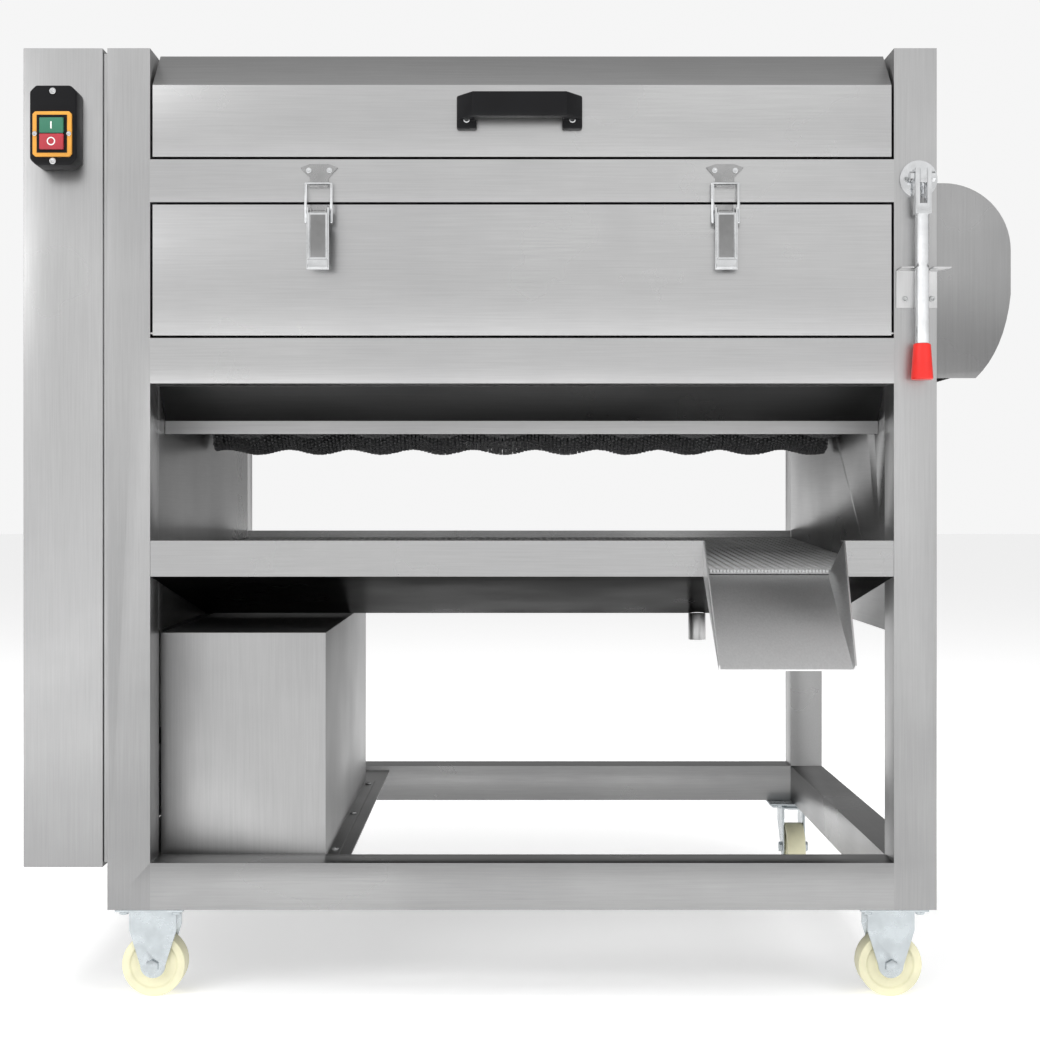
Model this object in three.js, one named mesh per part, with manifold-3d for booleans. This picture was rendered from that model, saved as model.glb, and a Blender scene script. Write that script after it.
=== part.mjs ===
// Floor-standing brush-roller potato peeler in stainless steel.
// Millimetres, +Z up, front face towards -Y. Heights are measured from the floor, depths from the front
// face of the legs and widths from the middle of the frame. The finished group is moved so that its
// origin is the middle of the footprint, on the floor.

import * as THREE from 'three';
import { mergeVertices } from 'three/addons/utils/BufferGeometryUtils.js';
import Module from 'manifold-3d';

const wasm = await Module();
wasm.setup();

// Fits
const SEAT_GAP = 0.3;
const OVERRUN = 4;
const WELD_TOLERANCE = 1e-4;
const PANEL_GAP = 3;

// Frame
const FRAME_WIDTH = 970;
const FRAME_DEPTH = 790;
const FRAME_TOP = 1117;
const TUBE = 50;
const BASE_RAIL_HEIGHT = 55;
const LID_RAIL_BELOW_TOP = 180;
const LID_RAIL_HEIGHT = 50;
const DOOR_OPENING = 159;
const SILL_HEIGHT = 53;
const BACK_RAIL_BELOW_SILL = 53;
const SHEET = 2;
const PLATE = 3;

// Collecting tray, screen and chute
const TRAY_ABOVE_MIDDLE = 54.5;
const TRAY_LIP_HEIGHT = 42;
const TRAY_FALL = 66;
const TRAY_RETURN = 14;
const TROUGH_BEFORE_BOWL = 31;
const SCREEN_RISE = 26;
const SCREEN_LIFT = 3;
const SLOT_COLUMNS = 16;
const SLOT_ROWS = 2;
const SLOT_WIDTH = 14;
const SLOT_LENGTH = 270;
const CHUTE_SIDE_GAP = 57;
const CHUTE_WIDTH = 166;
const CHUTE_REACH = 148;
const CHUTE_FALL = 96;
const CHUTE_TAPER = 18;
const CHUTE_END_LIP = 6;
const DRAIN_RADIUS = 12;
const DRAIN_LENGTH = 36;
const DRAIN_SIDE_GAP = 191;

// Apron under the front rollers
const APRON_DEPTH = 33;
const APRON_FALL = 40;
const APRON_LIP = 16;
const APRON_FLANGE = 15;

// Lid
const LID_RISE = 2;
const LID_CHAMFER = 45;
const LID_BACK_GAP = 5;
const LID_SIDE_DEPTH = 57;
const HINGE_SIDE_GAP = 135;
const HINGE_LENGTH = 60;
const HINGE_BARREL = 5;
const HINGE_PIN = 2.5;
const HINGE_LEAF = 44;
const HINGE_CLEARANCE = 1;

// Lid handle
const HANDLE_WIDTH = 146;
const HANDLE_REACH = 38;
const HANDLE_BELOW_SHOULDER = 16;
const HANDLE_GRIP_HEIGHT = 28;
const HANDLE_FOOT_DROP = 10;
const HANDLE_FOOT_WIDTH = 23;
const HANDLE_GRIP_DEPTH = 14;
const HANDLE_SHIFT = -3;
const HANDLE_SHOULDER_SHARE = 0.8;

// Front door
const DOOR_DEPTH = 20;
const DOOR_PIVOT_IN = 4;
const DOOR_PIVOT_UP = 3;
const DOOR_PIN = 1.5;
const DOOR_PIN_LENGTH = 8;

// Toggle latches
const LATCH_SIDE_GAP = 198;
const LATCH_PIVOT_BELOW_DOOR_TOP = 10;
const LATCH_PIVOT_OUT = 9;
const LATCH_LEVER_WIDTH = 26;
const LATCH_LEVER_LENGTH = 68;
const LATCH_EAR_GAP = 1;
const LATCH_BASE_LENGTH = 44;
const LATCH_PIN = 2;
const WIRE = 1.8;
const BAIL_DROP = 12;
const CATCH_BELOW_RAIL_TOP = 6;
const CATCH_WIDTH = 44;
const CATCH_NECK = 22;
const CATCH_LEDGE_UP = 16;
const CATCH_LEDGE_REACH = 11;
const CATCH_EAR_HEIGHT = 16;

// Brush rollers
const ROLLER_COUNT = 9;
const BOWL_SIDE_GAP = 85;
const BOWL_DROP = 155;
const BRUSH_CLEARANCE = 0.72348;
const BRUSH_WAVE = 3.5;
const BRUSH_PITCH = 86;
const BRUSH_SIDES = 8;
const BRUSH_STEPS_PER_PITCH = 3;
const BRUSH_END_GAP = 10;
const SHAFT_RADIUS = 10;
const SHAFT_RIGHT = 30;
const BEARING_RADIUS = 20;
const BEARING_WIDTH = 14;
const SPROCKET_RADIUS = 36;
const SPROCKET_WIDTH = 8;
const CHAIN_WIDTH = 10;
const CHAIN_THICKNESS = 6;

// Drive guard and motor
const GUARD_WIDTH = 93;
const GUARD_FLANGE = 5;
const GUARD_BOTTOM = 159;
const COVER_WIDTH = 199;
const COVER_FRONT_GAP = 10;
const COVER_BACK_GAP = 110;
const COVER_TOP_GAP = 4;
const COVER_FOOT = 14;
const MOTOR_INSET = 8;
const MOTOR_RADIUS = 62;
const MOTOR_END_GAP = 24;
const GEARBOX = 90;
const GEARBOX_DEPTH = 60;
const MOTOR_RISE = 103;
const MOTOR_SHAFT = 12;
const DRIVE_SPROCKET_RADIUS = 32;

// Switch
const SWITCH_INSET = 16.3;
const SWITCH_WIDTH = 54;
const SWITCH_DEPTH = 32;
const SWITCH_DROP = 143;
const SWITCH_HEIGHT = 92;
const SWITCH_CORNER = 7;
const BEZEL_WIDTH = 45;
const BEZEL_HEIGHT = 52;
const BEZEL_THICKNESS = 4;
const BEZEL_UP = 9;
const BEZEL_CORNER = 3;
const BUTTON_WIDTH = 27.6;
const BUTTON_HEIGHT = 18;
const BUTTON_DEPTH = 5;
const BUTTON_CLEARANCE = 0.5;
const BUTTON_TRAVEL = 2.5;

// Gate, lever and spout
const GATE_SIDE_GAP = 20;
const GATE_HEIGHT = 160;
const GATE_ABOVE_BOWL = 110;
const GATE_LAP = 10;
const GATE_BARREL_GAP = 0.5;
const LEVER_UP = 26;
const LEVER_INSET = 22;
const LEVER_PIVOT_OUT = 20;
const LEVER_ROD = 8;
const LEVER_REACH = 193;
const FLANGE_RADIUS = 22;
const FLANGE_THICKNESS = 4;
const LUG_HALF = 4;
const FORK_CHEEK = 5;
const FORK_TOP = 9;
const FORK_LENGTH = 40;
const PIVOT_BOLT = 3;
const PIVOT_HEAD = 6;
const KNOB_LENGTH = 42;
const KNOB_TOP_RADIUS = 10;
const KNOB_BOTTOM_RADIUS = 13;
const GUIDE_BELOW_LEVER = 105;
const GUIDE_HEIGHT = 45;
const GUIDE_INSET = 2;
const GUIDE_WIDTH = 58;
const GUIDE_REACH = 30;
const GUIDE_SLOT = 11;
const SPOUT_REACH = 158;
const SPOUT_HALF_SHARE = 0.576923077;
const SPOUT_BELOW_GATE = 63;
const SPOUT_ABOVE_GATE = 33;
const SPOUT_CORNER = 88;
const SPOUT_TOE = 46;
const SPOUT_TOE_RISE = 110;

// Spray pipe
const SPRAY_RADIUS = 10;
const SPRAY_BELOW_LID = 79;

// Casters
const CASTER_HEIGHT = 109;
const CASTER_INSET = 48;
const CASTER_FRONT_Y = 42;
const CASTER_PLATE = 80;
const CASTER_TRAIL = 20;
const WHEEL_RADIUS = 37.5;
const WHEEL_HALF_WIDTH = 14;
const WHEEL_SIDES = 24;
const AXLE_RADIUS = 5;
const FORK_THICKNESS = 3;
const FORK_TOP_HALF = 28;
const FORK_EYE = 15;
const WHEEL_SIDE_GAP = 1;
const RACE_RADIUS = 24;
const RACE_HEIGHT = 9;
const BOLT_HEAD = 8;
const BOLT_HEAD_HEIGHT = 5;

// Places worked out from the sizes above
const HALF = FRAME_WIDTH / 2;
const INNER = HALF - TUBE;
const BACK = FRAME_DEPTH - TUBE;
const BASE_TOP = CASTER_HEIGHT + BASE_RAIL_HEIGHT;
const LID_RAIL_BOTTOM = FRAME_TOP - LID_RAIL_BELOW_TOP;
const LID_RAIL_TOP = LID_RAIL_BOTTOM + LID_RAIL_HEIGHT;
const SILL_TOP = LID_RAIL_BOTTOM - DOOR_OPENING;
const SILL_BOTTOM = SILL_TOP - SILL_HEIGHT;
const BACK_RAIL_BOTTOM = SILL_BOTTOM - BACK_RAIL_BELOW_SILL;
const BOWL_Y = FRAME_DEPTH / 2;
const BOWL_Z = FRAME_TOP - BOWL_DROP;
const BOWL_RADIUS = BACK - BOWL_Y - BOWL_SIDE_GAP;
const ROLLER_STEP = Math.PI / (ROLLER_COUNT - 1);
const BRUSH_RADIUS = BOWL_RADIUS * Math.sin(ROLLER_STEP / 2) - BRUSH_WAVE - BRUSH_CLEARANCE;
const LID_BOTTOM = LID_RAIL_TOP + PANEL_GAP;
const LID_TOP = FRAME_TOP + LID_RISE;
const LID_SHOULDER = LID_TOP - LID_CHAMFER;
const PANEL_HALF = INNER - PANEL_GAP;
const INSIDE = INNER - SEAT_GAP;
const DOOR_BOTTOM = SILL_TOP + PANEL_GAP;
const DOOR_TOP = LID_RAIL_BOTTOM - PANEL_GAP;
const TRAY_LIP_BOTTOM = (BASE_TOP + SILL_BOTTOM) / 2 + TRAY_ABOVE_MIDDLE;
const TRAY_LIP_TOP = TRAY_LIP_BOTTOM + TRAY_LIP_HEIGHT;
const TROUGH_Z = TRAY_LIP_BOTTOM - TRAY_FALL;
const TRAY_BACK = BACK - SEAT_GAP;
const TRAY_TROUGH_DEPTH = BOWL_Y - TROUGH_BEFORE_BOWL;
const CHUTE_RIGHT = INNER - CHUTE_SIDE_GAP;
const CHUTE_LEFT = CHUTE_RIGHT - CHUTE_WIDTH;
const DRAIN_X = INNER - DRAIN_SIDE_GAP;
const PLATE_FRONT = TUBE + SEAT_GAP;
const PLATE_BACK = BACK - SEAT_GAP;
const HANDLE_TOP = LID_SHOULDER - HANDLE_BELOW_SHOULDER;
const LATCH_X = INNER - LATCH_SIDE_GAP;
const LATCH_BASE_WIDTH = LATCH_LEVER_WIDTH - (SHEET + LATCH_EAR_GAP) * 2;
const LATCH_PIVOT_Z = DOOR_TOP - LATCH_PIVOT_BELOW_DOOR_TOP;
const CATCH_TOP = LID_RAIL_TOP - CATCH_BELOW_RAIL_TOP;
const CATCH_LEDGE_Z = LID_RAIL_BOTTOM + CATCH_LEDGE_UP;
const HINGE_X = INNER - HINGE_SIDE_GAP;
const HINGE_Y = BACK - SEAT_GAP;
const HINGE_Z = LID_TOP + HINGE_BARREL + HINGE_CLEARANCE;
const SPOUT_HALF_WIDTH = BOWL_RADIUS * SPOUT_HALF_SHARE;
const GATE_WIDTH = (SPOUT_HALF_WIDTH - GATE_SIDE_GAP) * 2;
const GATE_BOTTOM = BOWL_Z - BOWL_RADIUS + GATE_ABOVE_BOWL;
const GATE_TOP = GATE_BOTTOM + GATE_HEIGHT;
const SPOUT_BOTTOM = GATE_BOTTOM - SPOUT_BELOW_GATE;
const SPOUT_TOP = GATE_TOP + SPOUT_ABOVE_GATE;
const LEVER_X = HALF - LEVER_INSET;
const LEVER_Z = LID_RAIL_BOTTOM + LEVER_UP;
const GUIDE_LEFT = INNER + GUIDE_INSET;
const GUIDE_Z = LEVER_Z - GUIDE_BELOW_LEVER;
const SPRAY_Z = LID_TOP - SPRAY_BELOW_LID;
const GUARD_LEFT = -HALF - SEAT_GAP - GUARD_FLANGE - GUARD_WIDTH;
const SWITCH_LEFT = GUARD_LEFT + SWITCH_INSET;
const SWITCH_BOTTOM = FRAME_TOP - SWITCH_DROP;
const COVER_LEFT = -INNER;
const COVER_FRONT = TUBE + COVER_FRONT_GAP;
const COVER_DEPTH = BACK - COVER_FRONT - COVER_BACK_GAP;
const COVER_Z = BASE_TOP - GATE_LAP + PLATE;
const MOTOR_Z = COVER_Z + MOTOR_RISE;
const MOTOR_LENGTH = COVER_WIDTH - SHEET - MOTOR_INSET - GEARBOX_DEPTH - MOTOR_END_GAP;
const COVER_HEIGHT = TROUGH_Z - COVER_TOP_GAP - COVER_Z;
const CHAIN_X = -HALF - GUARD_FLANGE - GUARD_WIDTH / 2;
const DRIVE_CHAIN_X = CHAIN_X + CHAIN_WIDTH * 2;
const CASTER_X = HALF - CASTER_INSET;
const CASTER_BACK_Y = FRAME_DEPTH - CASTER_FRONT_Y;

// Materials: the colour, roughness and metalness of each finish
const FINISHES = {
  steel: [0xb9babb, 0.35, 0.9],
  darkSteel: [0x8f9092, 0.4, 0.9],
  zinc: [0xc9d2d4, 0.4, 0.8],
  chrome: [0xd8dadc, 0.15, 1],
  black: [0x17181a, 0.5, 0],
  yellow: [0xe8a93a, 0.5, 0],
  green: [0x3f7f63, 0.5, 0],
  red: [0xb84a55, 0.5, 0],
  knob: [0xf0382e, 0.4, 0],
  nylon: [0xe9e6bf, 0.5, 0],
  bristle: [0x2c2d2f, 0.8, 0],
  motor: [0x4d5a66, 0.5, 0.2],
};

const peeler = new THREE.Group();

// Solid helpers

function signedVolume(geometry) {
  const p = geometry.attributes.position;
  const index = geometry.index.array;
  const a = new THREE.Vector3();
  const b = new THREE.Vector3();
  const c = new THREE.Vector3();
  let sum = 0;
  for (let i = 0; i < index.length; i += 3) {
    a.fromBufferAttribute(p, index[i]);
    b.fromBufferAttribute(p, index[i + 1]);
    c.fromBufferAttribute(p, index[i + 2]);
    sum += a.dot(b.cross(c));
  }
  return sum / 6;
}

// Merges shared corners, drops collapsed triangles and turns the faces outwards.
function weld(geometry) {
  const bare = geometry.clone();
  bare.deleteAttribute('uv');
  bare.deleteAttribute('normal');
  const merged = mergeVertices(bare, WELD_TOLERANCE);
  const kept = [];
  const index = merged.index.array;
  for (let i = 0; i < index.length; i += 3) {
    const [a, b, c] = [index[i], index[i + 1], index[i + 2]];
    if (a !== b && b !== c && c !== a) kept.push(a, b, c);
  }
  merged.setIndex(kept);
  if (signedVolume(merged) < 0) {
    merged.setIndex(kept.map((_, i) => kept[i - (i % 3) + 2 - (i % 3)]));
  }
  return merged;
}

function toSolid(geometry) {
  const welded = weld(geometry);
  return new wasm.Manifold(new wasm.Mesh({
    numProp: 3,
    vertProperties: new Float32Array(welded.attributes.position.array),
    triVerts: new Uint32Array(welded.index.array),
  }));
}

function fromSolid(solid) {
  const mesh = solid.getMesh();
  const geometry = new THREE.BufferGeometry();
  geometry.setAttribute('position', new THREE.BufferAttribute(new Float32Array(mesh.vertProperties), 3));
  geometry.setIndex(new THREE.BufferAttribute(new Uint32Array(mesh.triVerts), 1));
  return geometry;
}

function join(...geometries) {
  return fromSolid(geometries.map(toSolid).reduce((sum, next) => sum.add(next)));
}

function cut(geometry, ...tools) {
  return fromSolid(tools.map(toSolid).reduce((rest, tool) => rest.subtract(tool), toSolid(geometry)));
}

function block(x0, x1, y0, y1, z0, z1) {
  const geometry = new THREE.BoxGeometry(x1 - x0, y1 - y0, z1 - z0);
  return geometry.translate((x0 + x1) / 2, (y0 + y1) / 2, (z0 + z1) / 2);
}

const X = new THREE.Vector3(1, 0, 0);
const Y = new THREE.Vector3(0, 1, 0);
const Z = new THREE.Vector3(0, 0, 1);

// Turns the XY outline and its +Z run so that the run lies along the named axis.
const TURNS = {
  x: new THREE.Matrix4().makeBasis(Y, Z, X),
  y: new THREE.Matrix4().makeBasis(X, Z, Y.clone().negate()),
  z: new THREE.Matrix4(),
};

function outlineShape(outline, holes = []) {
  const points = (corners) => corners.map(([u, v]) => new THREE.Vector2(u, v));
  const shape = outline instanceof THREE.Shape ? outline : new THREE.Shape(points(outline));
  for (const hole of holes) {
    shape.holes.push(new THREE.Path(points(hole)));
  }
  return shape;
}

// An outline run along an axis: (y, z) points for x, (x, z) for y and (x, y) for z.
function prism(axis, outline, from, to, holes = [], curveSegments = 8) {
  const shape = outlineShape(outline, holes);
  const geometry = new THREE.ExtrudeGeometry(shape, { depth: to - from, bevelEnabled: false, curveSegments });
  geometry.applyMatrix4(TURNS[axis]);
  const start = { x: [from, 0, 0], y: [0, to, 0], z: [0, 0, from] }[axis];
  return geometry.translate(...start);
}

function circle(u, v, radius, sides = 8) {
  const points = [];
  for (let i = 0; i < sides; i += 1) {
    const angle = (2 * Math.PI * (i + 0.5)) / sides;
    points.push([u + radius * Math.cos(angle), v + radius * Math.sin(angle)]);
  }
  return points;
}

// A round bar along an axis, its middle at (u, v) of the other two axes.
function bar(axis, radius, from, to, u = 0, v = 0, sides = 12) {
  return prism(axis, circle(u, v, radius, sides), from, to);
}

// The radius of a many-sided hole whose flats clear a round pin by the seat gap.
function boreRadius(pinRadius, sides = 12) {
  return (pinRadius + SEAT_GAP) / Math.cos(Math.PI / sides);
}

// The tool that cuts such a hole along an axis.
function bore(axis, pinRadius, from, to, u = 0, v = 0) {
  return bar(axis, boreRadius(pinRadius), from, to, u, v);
}

// The open line that runs beside another on its left, one thickness away.
function beside(line, thickness) {
  return line.map((point, i) => {
    const before = line[Math.max(i - 1, 0)];
    const after = line[Math.min(i + 1, line.length - 1)];
    const first = new THREE.Vector2(point[0] - before[0], point[1] - before[1]);
    const second = new THREE.Vector2(after[0] - point[0], after[1] - point[1]);
    if (i === 0) first.copy(second);
    if (i === line.length - 1) second.copy(first);
    first.normalize();
    second.normalize();
    const mitre = first.clone().add(second).normalize();
    const reach = thickness / mitre.dot(first);
    return [point[0] - mitre.y * reach, point[1] + mitre.x * reach];
  });
}

// A closed outline from an open fold line and a sheet thickness laid on its left side.
function fold(line, thickness) {
  return [...line, ...beside(line, thickness).reverse()];
}

// A solid between two like sections, each a list of [x, y, z] points.
function loft(sectionA, sectionB) {
  const count = sectionA.length;
  const flat = sectionA.map(([x, , z]) => new THREE.Vector2(x, z));
  const caps = THREE.ShapeUtils.triangulateShape(flat, []);
  const index = [];
  for (const [a, b, c] of caps) {
    index.push(a, b, c);
    index.push(count + c, count + b, count + a);
  }
  for (let i = 0; i < count; i += 1) {
    const j = (i + 1) % count;
    index.push(j, i, count + i);
    index.push(j, count + i, count + j);
  }
  const geometry = new THREE.BufferGeometry();
  const points = new Float32Array([...sectionA, ...sectionB].flat());
  geometry.setAttribute('position', new THREE.BufferAttribute(points, 3));
  geometry.setIndex(index);
  return weld(geometry);
}

function place(name, geometry, finish, x = 0, y = 0, z = 0) {
  const [color, roughness, metalness] = FINISHES[finish];
  const shown = geometry.index && !geometry.attributes.uv ? geometry : weld(geometry);
  const mesh = new THREE.Mesh(shown, new THREE.MeshStandardMaterial({ color, roughness, metalness }));
  mesh.geometry.computeVertexNormals();
  mesh.name = name;
  mesh.position.set(x, y, z);
  peeler.add(mesh);
  return mesh;
}

// Square-tube frame, welded into one piece, with the stub pins that the front door turns on.
function addFrame() {
  const legs = [0, BACK].flatMap((y) => [-HALF, INNER].map((x) => (
    block(x, x + TUBE, y, y + TUBE, CASTER_HEIGHT, FRAME_TOP)
  )));
  const crossRail = (y, low, height) => block(-HALF, HALF, y, y + TUBE, low, low + height);
  const sideRail = (x) => block(x, x + TUBE, 0, FRAME_DEPTH, CASTER_HEIGHT, BASE_TOP);
  const pins = [-INNER, INNER - DOOR_PIN_LENGTH].map((x) => bar(
    'x', DOOR_PIN, x - SHEET, x + DOOR_PIN_LENGTH + SHEET, DOOR_PIVOT_IN, DOOR_BOTTOM + DOOR_PIVOT_UP,
  ));
  place('frame', join(
    ...legs,
    crossRail(0, CASTER_HEIGHT, BASE_RAIL_HEIGHT),
    crossRail(BACK, CASTER_HEIGHT, BASE_RAIL_HEIGHT),
    sideRail(-HALF),
    sideRail(INNER),
    crossRail(0, SILL_BOTTOM, SILL_HEIGHT),
    crossRail(0, LID_RAIL_BOTTOM, LID_RAIL_HEIGHT),
    crossRail(BACK, BACK_RAIL_BOTTOM, TUBE),
    crossRail(BACK, FRAME_TOP - TUBE, TUBE),
    ...pins,
  ), 'steel');
  place('motor_base', block(
    -INSIDE, -INNER + COVER_WIDTH + COVER_FOOT * 2, PLATE_FRONT, PLATE_BACK,
    COVER_Z - PLATE - SEAT_GAP, COVER_Z - SEAT_GAP,
  ), 'steel');
}

function rollerCentre(i) {
  const angle = Math.PI + ROLLER_STEP * i;
  return [BOWL_Y + BOWL_RADIUS * Math.cos(angle), BOWL_Z + BOWL_RADIUS * Math.sin(angle)];
}

function rollerCentres() {
  return Array.from({ length: ROLLER_COUNT }, (_, i) => rollerCentre(i));
}

// An end plate with a bearing housing round each roller's shaft on its outer side.
function endPlate(inner, side, ...openings) {
  const outline = [
    [PLATE_FRONT, TROUGH_Z], [PLATE_BACK, TROUGH_Z], [PLATE_BACK, FRAME_TOP], [PLATE_FRONT, FRAME_TOP],
  ];
  const run = (from, to) => [from * side, to * side].sort((a, b) => a - b);
  const plate = prism('x', outline, ...run(inner, inner + PLATE));
  const housings = rollerCentres().map(([y, z]) => bar(
    'x', BEARING_RADIUS, ...run(inner + PLATE / 2, inner + PLATE + BEARING_WIDTH), y, z,
  ));
  const holes = rollerCentres().map(([y, z]) => bore(
    'x', SHAFT_RADIUS, ...run(inner - OVERRUN, inner + PLATE + BEARING_WIDTH + OVERRUN), y, z,
  ));
  return cut(join(plate, ...housings), ...holes, ...openings);
}

function addEndPlates() {
  const gateway = block(
    INNER - OVERRUN, INNER + PLATE + OVERRUN, BOWL_Y - GATE_WIDTH / 2, BOWL_Y + GATE_WIDTH / 2,
    GATE_BOTTOM, GATE_TOP,
  );
  place('end_plate_left', endPlate(INNER, -1), 'steel');
  place('end_plate_right', endPlate(INNER, 1, gateway), 'steel');
}

function addSkins() {
  const top = SILL_BOTTOM + APRON_FLANGE;
  const foot = PLATE_FRONT + SHEET + APRON_DEPTH;
  const apron = fold([
    [PLATE_FRONT, top], [PLATE_FRONT, SILL_BOTTOM],
    [foot, SILL_BOTTOM - APRON_FALL], [foot, SILL_BOTTOM - APRON_FALL - APRON_LIP],
  ], SHEET);
  place('front_apron', prism('x', apron, -INSIDE, INSIDE), 'darkSteel');
  place('back_panel', block(
    -INSIDE, INSIDE, BACK, BACK + SHEET,
    BACK_RAIL_BOTTOM + TUBE + SEAT_GAP, FRAME_TOP - TUBE - SEAT_GAP,
  ), 'steel');
}

function addTray() {
  const line = [
    [TRAY_RETURN, TRAY_LIP_TOP], [0, TRAY_LIP_TOP], [0, TRAY_LIP_BOTTOM], [TRAY_TROUGH_DEPTH, TROUGH_Z],
    [TRAY_BACK, TRAY_LIP_BOTTOM], [TRAY_BACK, TRAY_LIP_TOP],
  ];
  const basin = prism('x', fold(line, SHEET), -INSIDE, INSIDE);
  const mouth = block(
    CHUTE_LEFT + SHEET, CHUTE_RIGHT - SHEET, -OVERRUN, TRAY_RETURN + OVERRUN,
    TRAY_LIP_BOTTOM + SHEET, TRAY_LIP_TOP + OVERRUN,
  );
  const hole = bar(
    'z', DRAIN_RADIUS - SHEET, TROUGH_Z - OVERRUN, TROUGH_Z + OVERRUN * 2, DRAIN_X, TRAY_TROUGH_DEPTH,
  );
  place('tray', cut(basin, mouth, hole), 'steel');
  const pipeTop = TROUGH_Z - SEAT_GAP;
  const pipe = (radius, over) => bar(
    'z', radius, pipeTop - DRAIN_LENGTH - over, pipeTop + over, DRAIN_X, TRAY_TROUGH_DEPTH,
  );
  place('drain_pipe', cut(pipe(DRAIN_RADIUS, 0), pipe(DRAIN_RADIUS - SHEET, OVERRUN)), 'darkSteel');
}

// Perforated plate lying in the tray, sloping towards the chute.
function addScreen() {
  const front = SHEET + SEAT_GAP;
  const back = TRAY_BACK - SHEET - SEAT_GAP;
  const low = TRAY_LIP_BOTTOM + SCREEN_LIFT;
  const high = low + SCREEN_RISE;
  const line = [[front, low], [back, high]];
  const plate = prism('x', fold(line, SHEET), -INSIDE + SEAT_GAP, INSIDE - SEAT_GAP);
  const columnPitch = (2 * INSIDE) / SLOT_COLUMNS;
  const rowPitch = (back - front) / SLOT_ROWS;
  const slots = [];
  for (let i = 0; i < SLOT_COLUMNS; i += 1) {
    for (let j = 0; j < SLOT_ROWS; j += 1) {
      const x = -INSIDE + columnPitch * (i + 0.5);
      const y = front + rowPitch * (j + 0.5);
      slots.push(block(
        x - SLOT_WIDTH / 2, x + SLOT_WIDTH / 2, y - SLOT_LENGTH / 2, y + SLOT_LENGTH / 2,
        low - OVERRUN, high + OVERRUN,
      ));
    }
  }
  place('tray_screen', cut(plate, ...slots), 'darkSteel');
}

// Open channel that narrows and falls from the tray's mouth.
function addChute() {
  const section = (left, right, lean, y, bottom, height) => [
    [left, y, bottom], [right, y, bottom], [right + lean, y, bottom + height],
    [right + lean - SHEET, y, bottom + height], [right - SHEET, y, bottom + SHEET],
    [left + SHEET, y, bottom + SHEET], [left + SHEET, y, bottom + height], [left, y, bottom + height],
  ];
  const mouth = section(
    CHUTE_LEFT, CHUTE_RIGHT - CHUTE_TAPER, CHUTE_TAPER, -SEAT_GAP, TRAY_LIP_BOTTOM, TRAY_LIP_HEIGHT,
  );
  const end = section(
    CHUTE_LEFT, CHUTE_RIGHT - CHUTE_TAPER, SHEET, -CHUTE_REACH, TRAY_LIP_BOTTOM - CHUTE_FALL, CHUTE_END_LIP,
  );
  place('chute', loft(mouth, end), 'steel');
}

// Folded lid with side cheeks, open below; its front half hangs lower than the rest.
function addLid() {
  const back = HINGE_Y - LID_BACK_GAP;
  const sideBottom = LID_TOP - LID_SIDE_DEPTH;
  const roof = (drop) => [
    [back, sideBottom - drop], [back, LID_TOP], [LID_CHAMFER, LID_TOP], [0, LID_SHOULDER],
    [0, LID_BOTTOM - drop],
  ];
  const step = (y, drop) => [[y, LID_BOTTOM - drop], [y, sideBottom - drop]];
  const body = prism('x', [...roof(0), ...step(TUBE, 0)], -PANEL_HALF, PANEL_HALF);
  const hollow = prism(
    'x', [...beside(roof(OVERRUN), SHEET), ...step(TUBE + OVERRUN, OVERRUN)],
    -PANEL_HALF + SHEET, PANEL_HALF - SHEET,
  );
  const pinHole = bore('x', HINGE_PIN, -PANEL_HALF, PANEL_HALF, HINGE_Y, HINGE_Z);
  const knuckles = [...lidKnuckle(-HINGE_X), ...lidKnuckle(HINGE_X)];
  place('lid', cut(join(cut(body, hollow), ...knuckles), pinHole), 'steel');
}

// The lid's half of a hinge: a leaf with the middle knuckle.
function lidKnuckle(x) {
  const half = HINGE_LENGTH / 6 - SEAT_GAP;
  const knuckle = bar('x', HINGE_BARREL, x - half, x + half, HINGE_Y, HINGE_Z, 16);
  const leaf = block(
    x - half, x + half, HINGE_Y - HINGE_LEAF, HINGE_Y - HINGE_PIN,
    LID_TOP - SHEET / 2, HINGE_Z - HINGE_PIN - SEAT_GAP,
  );
  return [knuckle, leaf];
}

// The frame's half of a hinge: a leaf on the back rail, two outer knuckles and the pin.
function frameHinge() {
  const outer = HINGE_LENGTH / 2;
  const inner = HINGE_LENGTH / 6;
  const leafZ = FRAME_TOP + SEAT_GAP;
  const leafFront = HINGE_Y + HINGE_PIN;
  const pin = bar('x', HINGE_PIN, -outer, outer, HINGE_Y, HINGE_Z);
  const knuckles = [[-outer, -inner], [inner, outer]].flatMap(([from, to]) => [
    bar('x', HINGE_BARREL, from, to, HINGE_Y, HINGE_Z, 16),
    block(from, to, leafFront, leafFront + SHEET, leafZ, HINGE_Z),
  ]);
  const leaf = block(-outer, outer, leafFront, HINGE_Y + HINGE_LEAF, leafZ, leafZ + SHEET);
  return join(pin, leaf, ...knuckles);
}

function addLidHinges() {
  place('lid_hinge_left', frameHinge(), 'steel', -HINGE_X);
  place('lid_hinge_right', frameHinge(), 'steel', HINGE_X);
}

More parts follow.
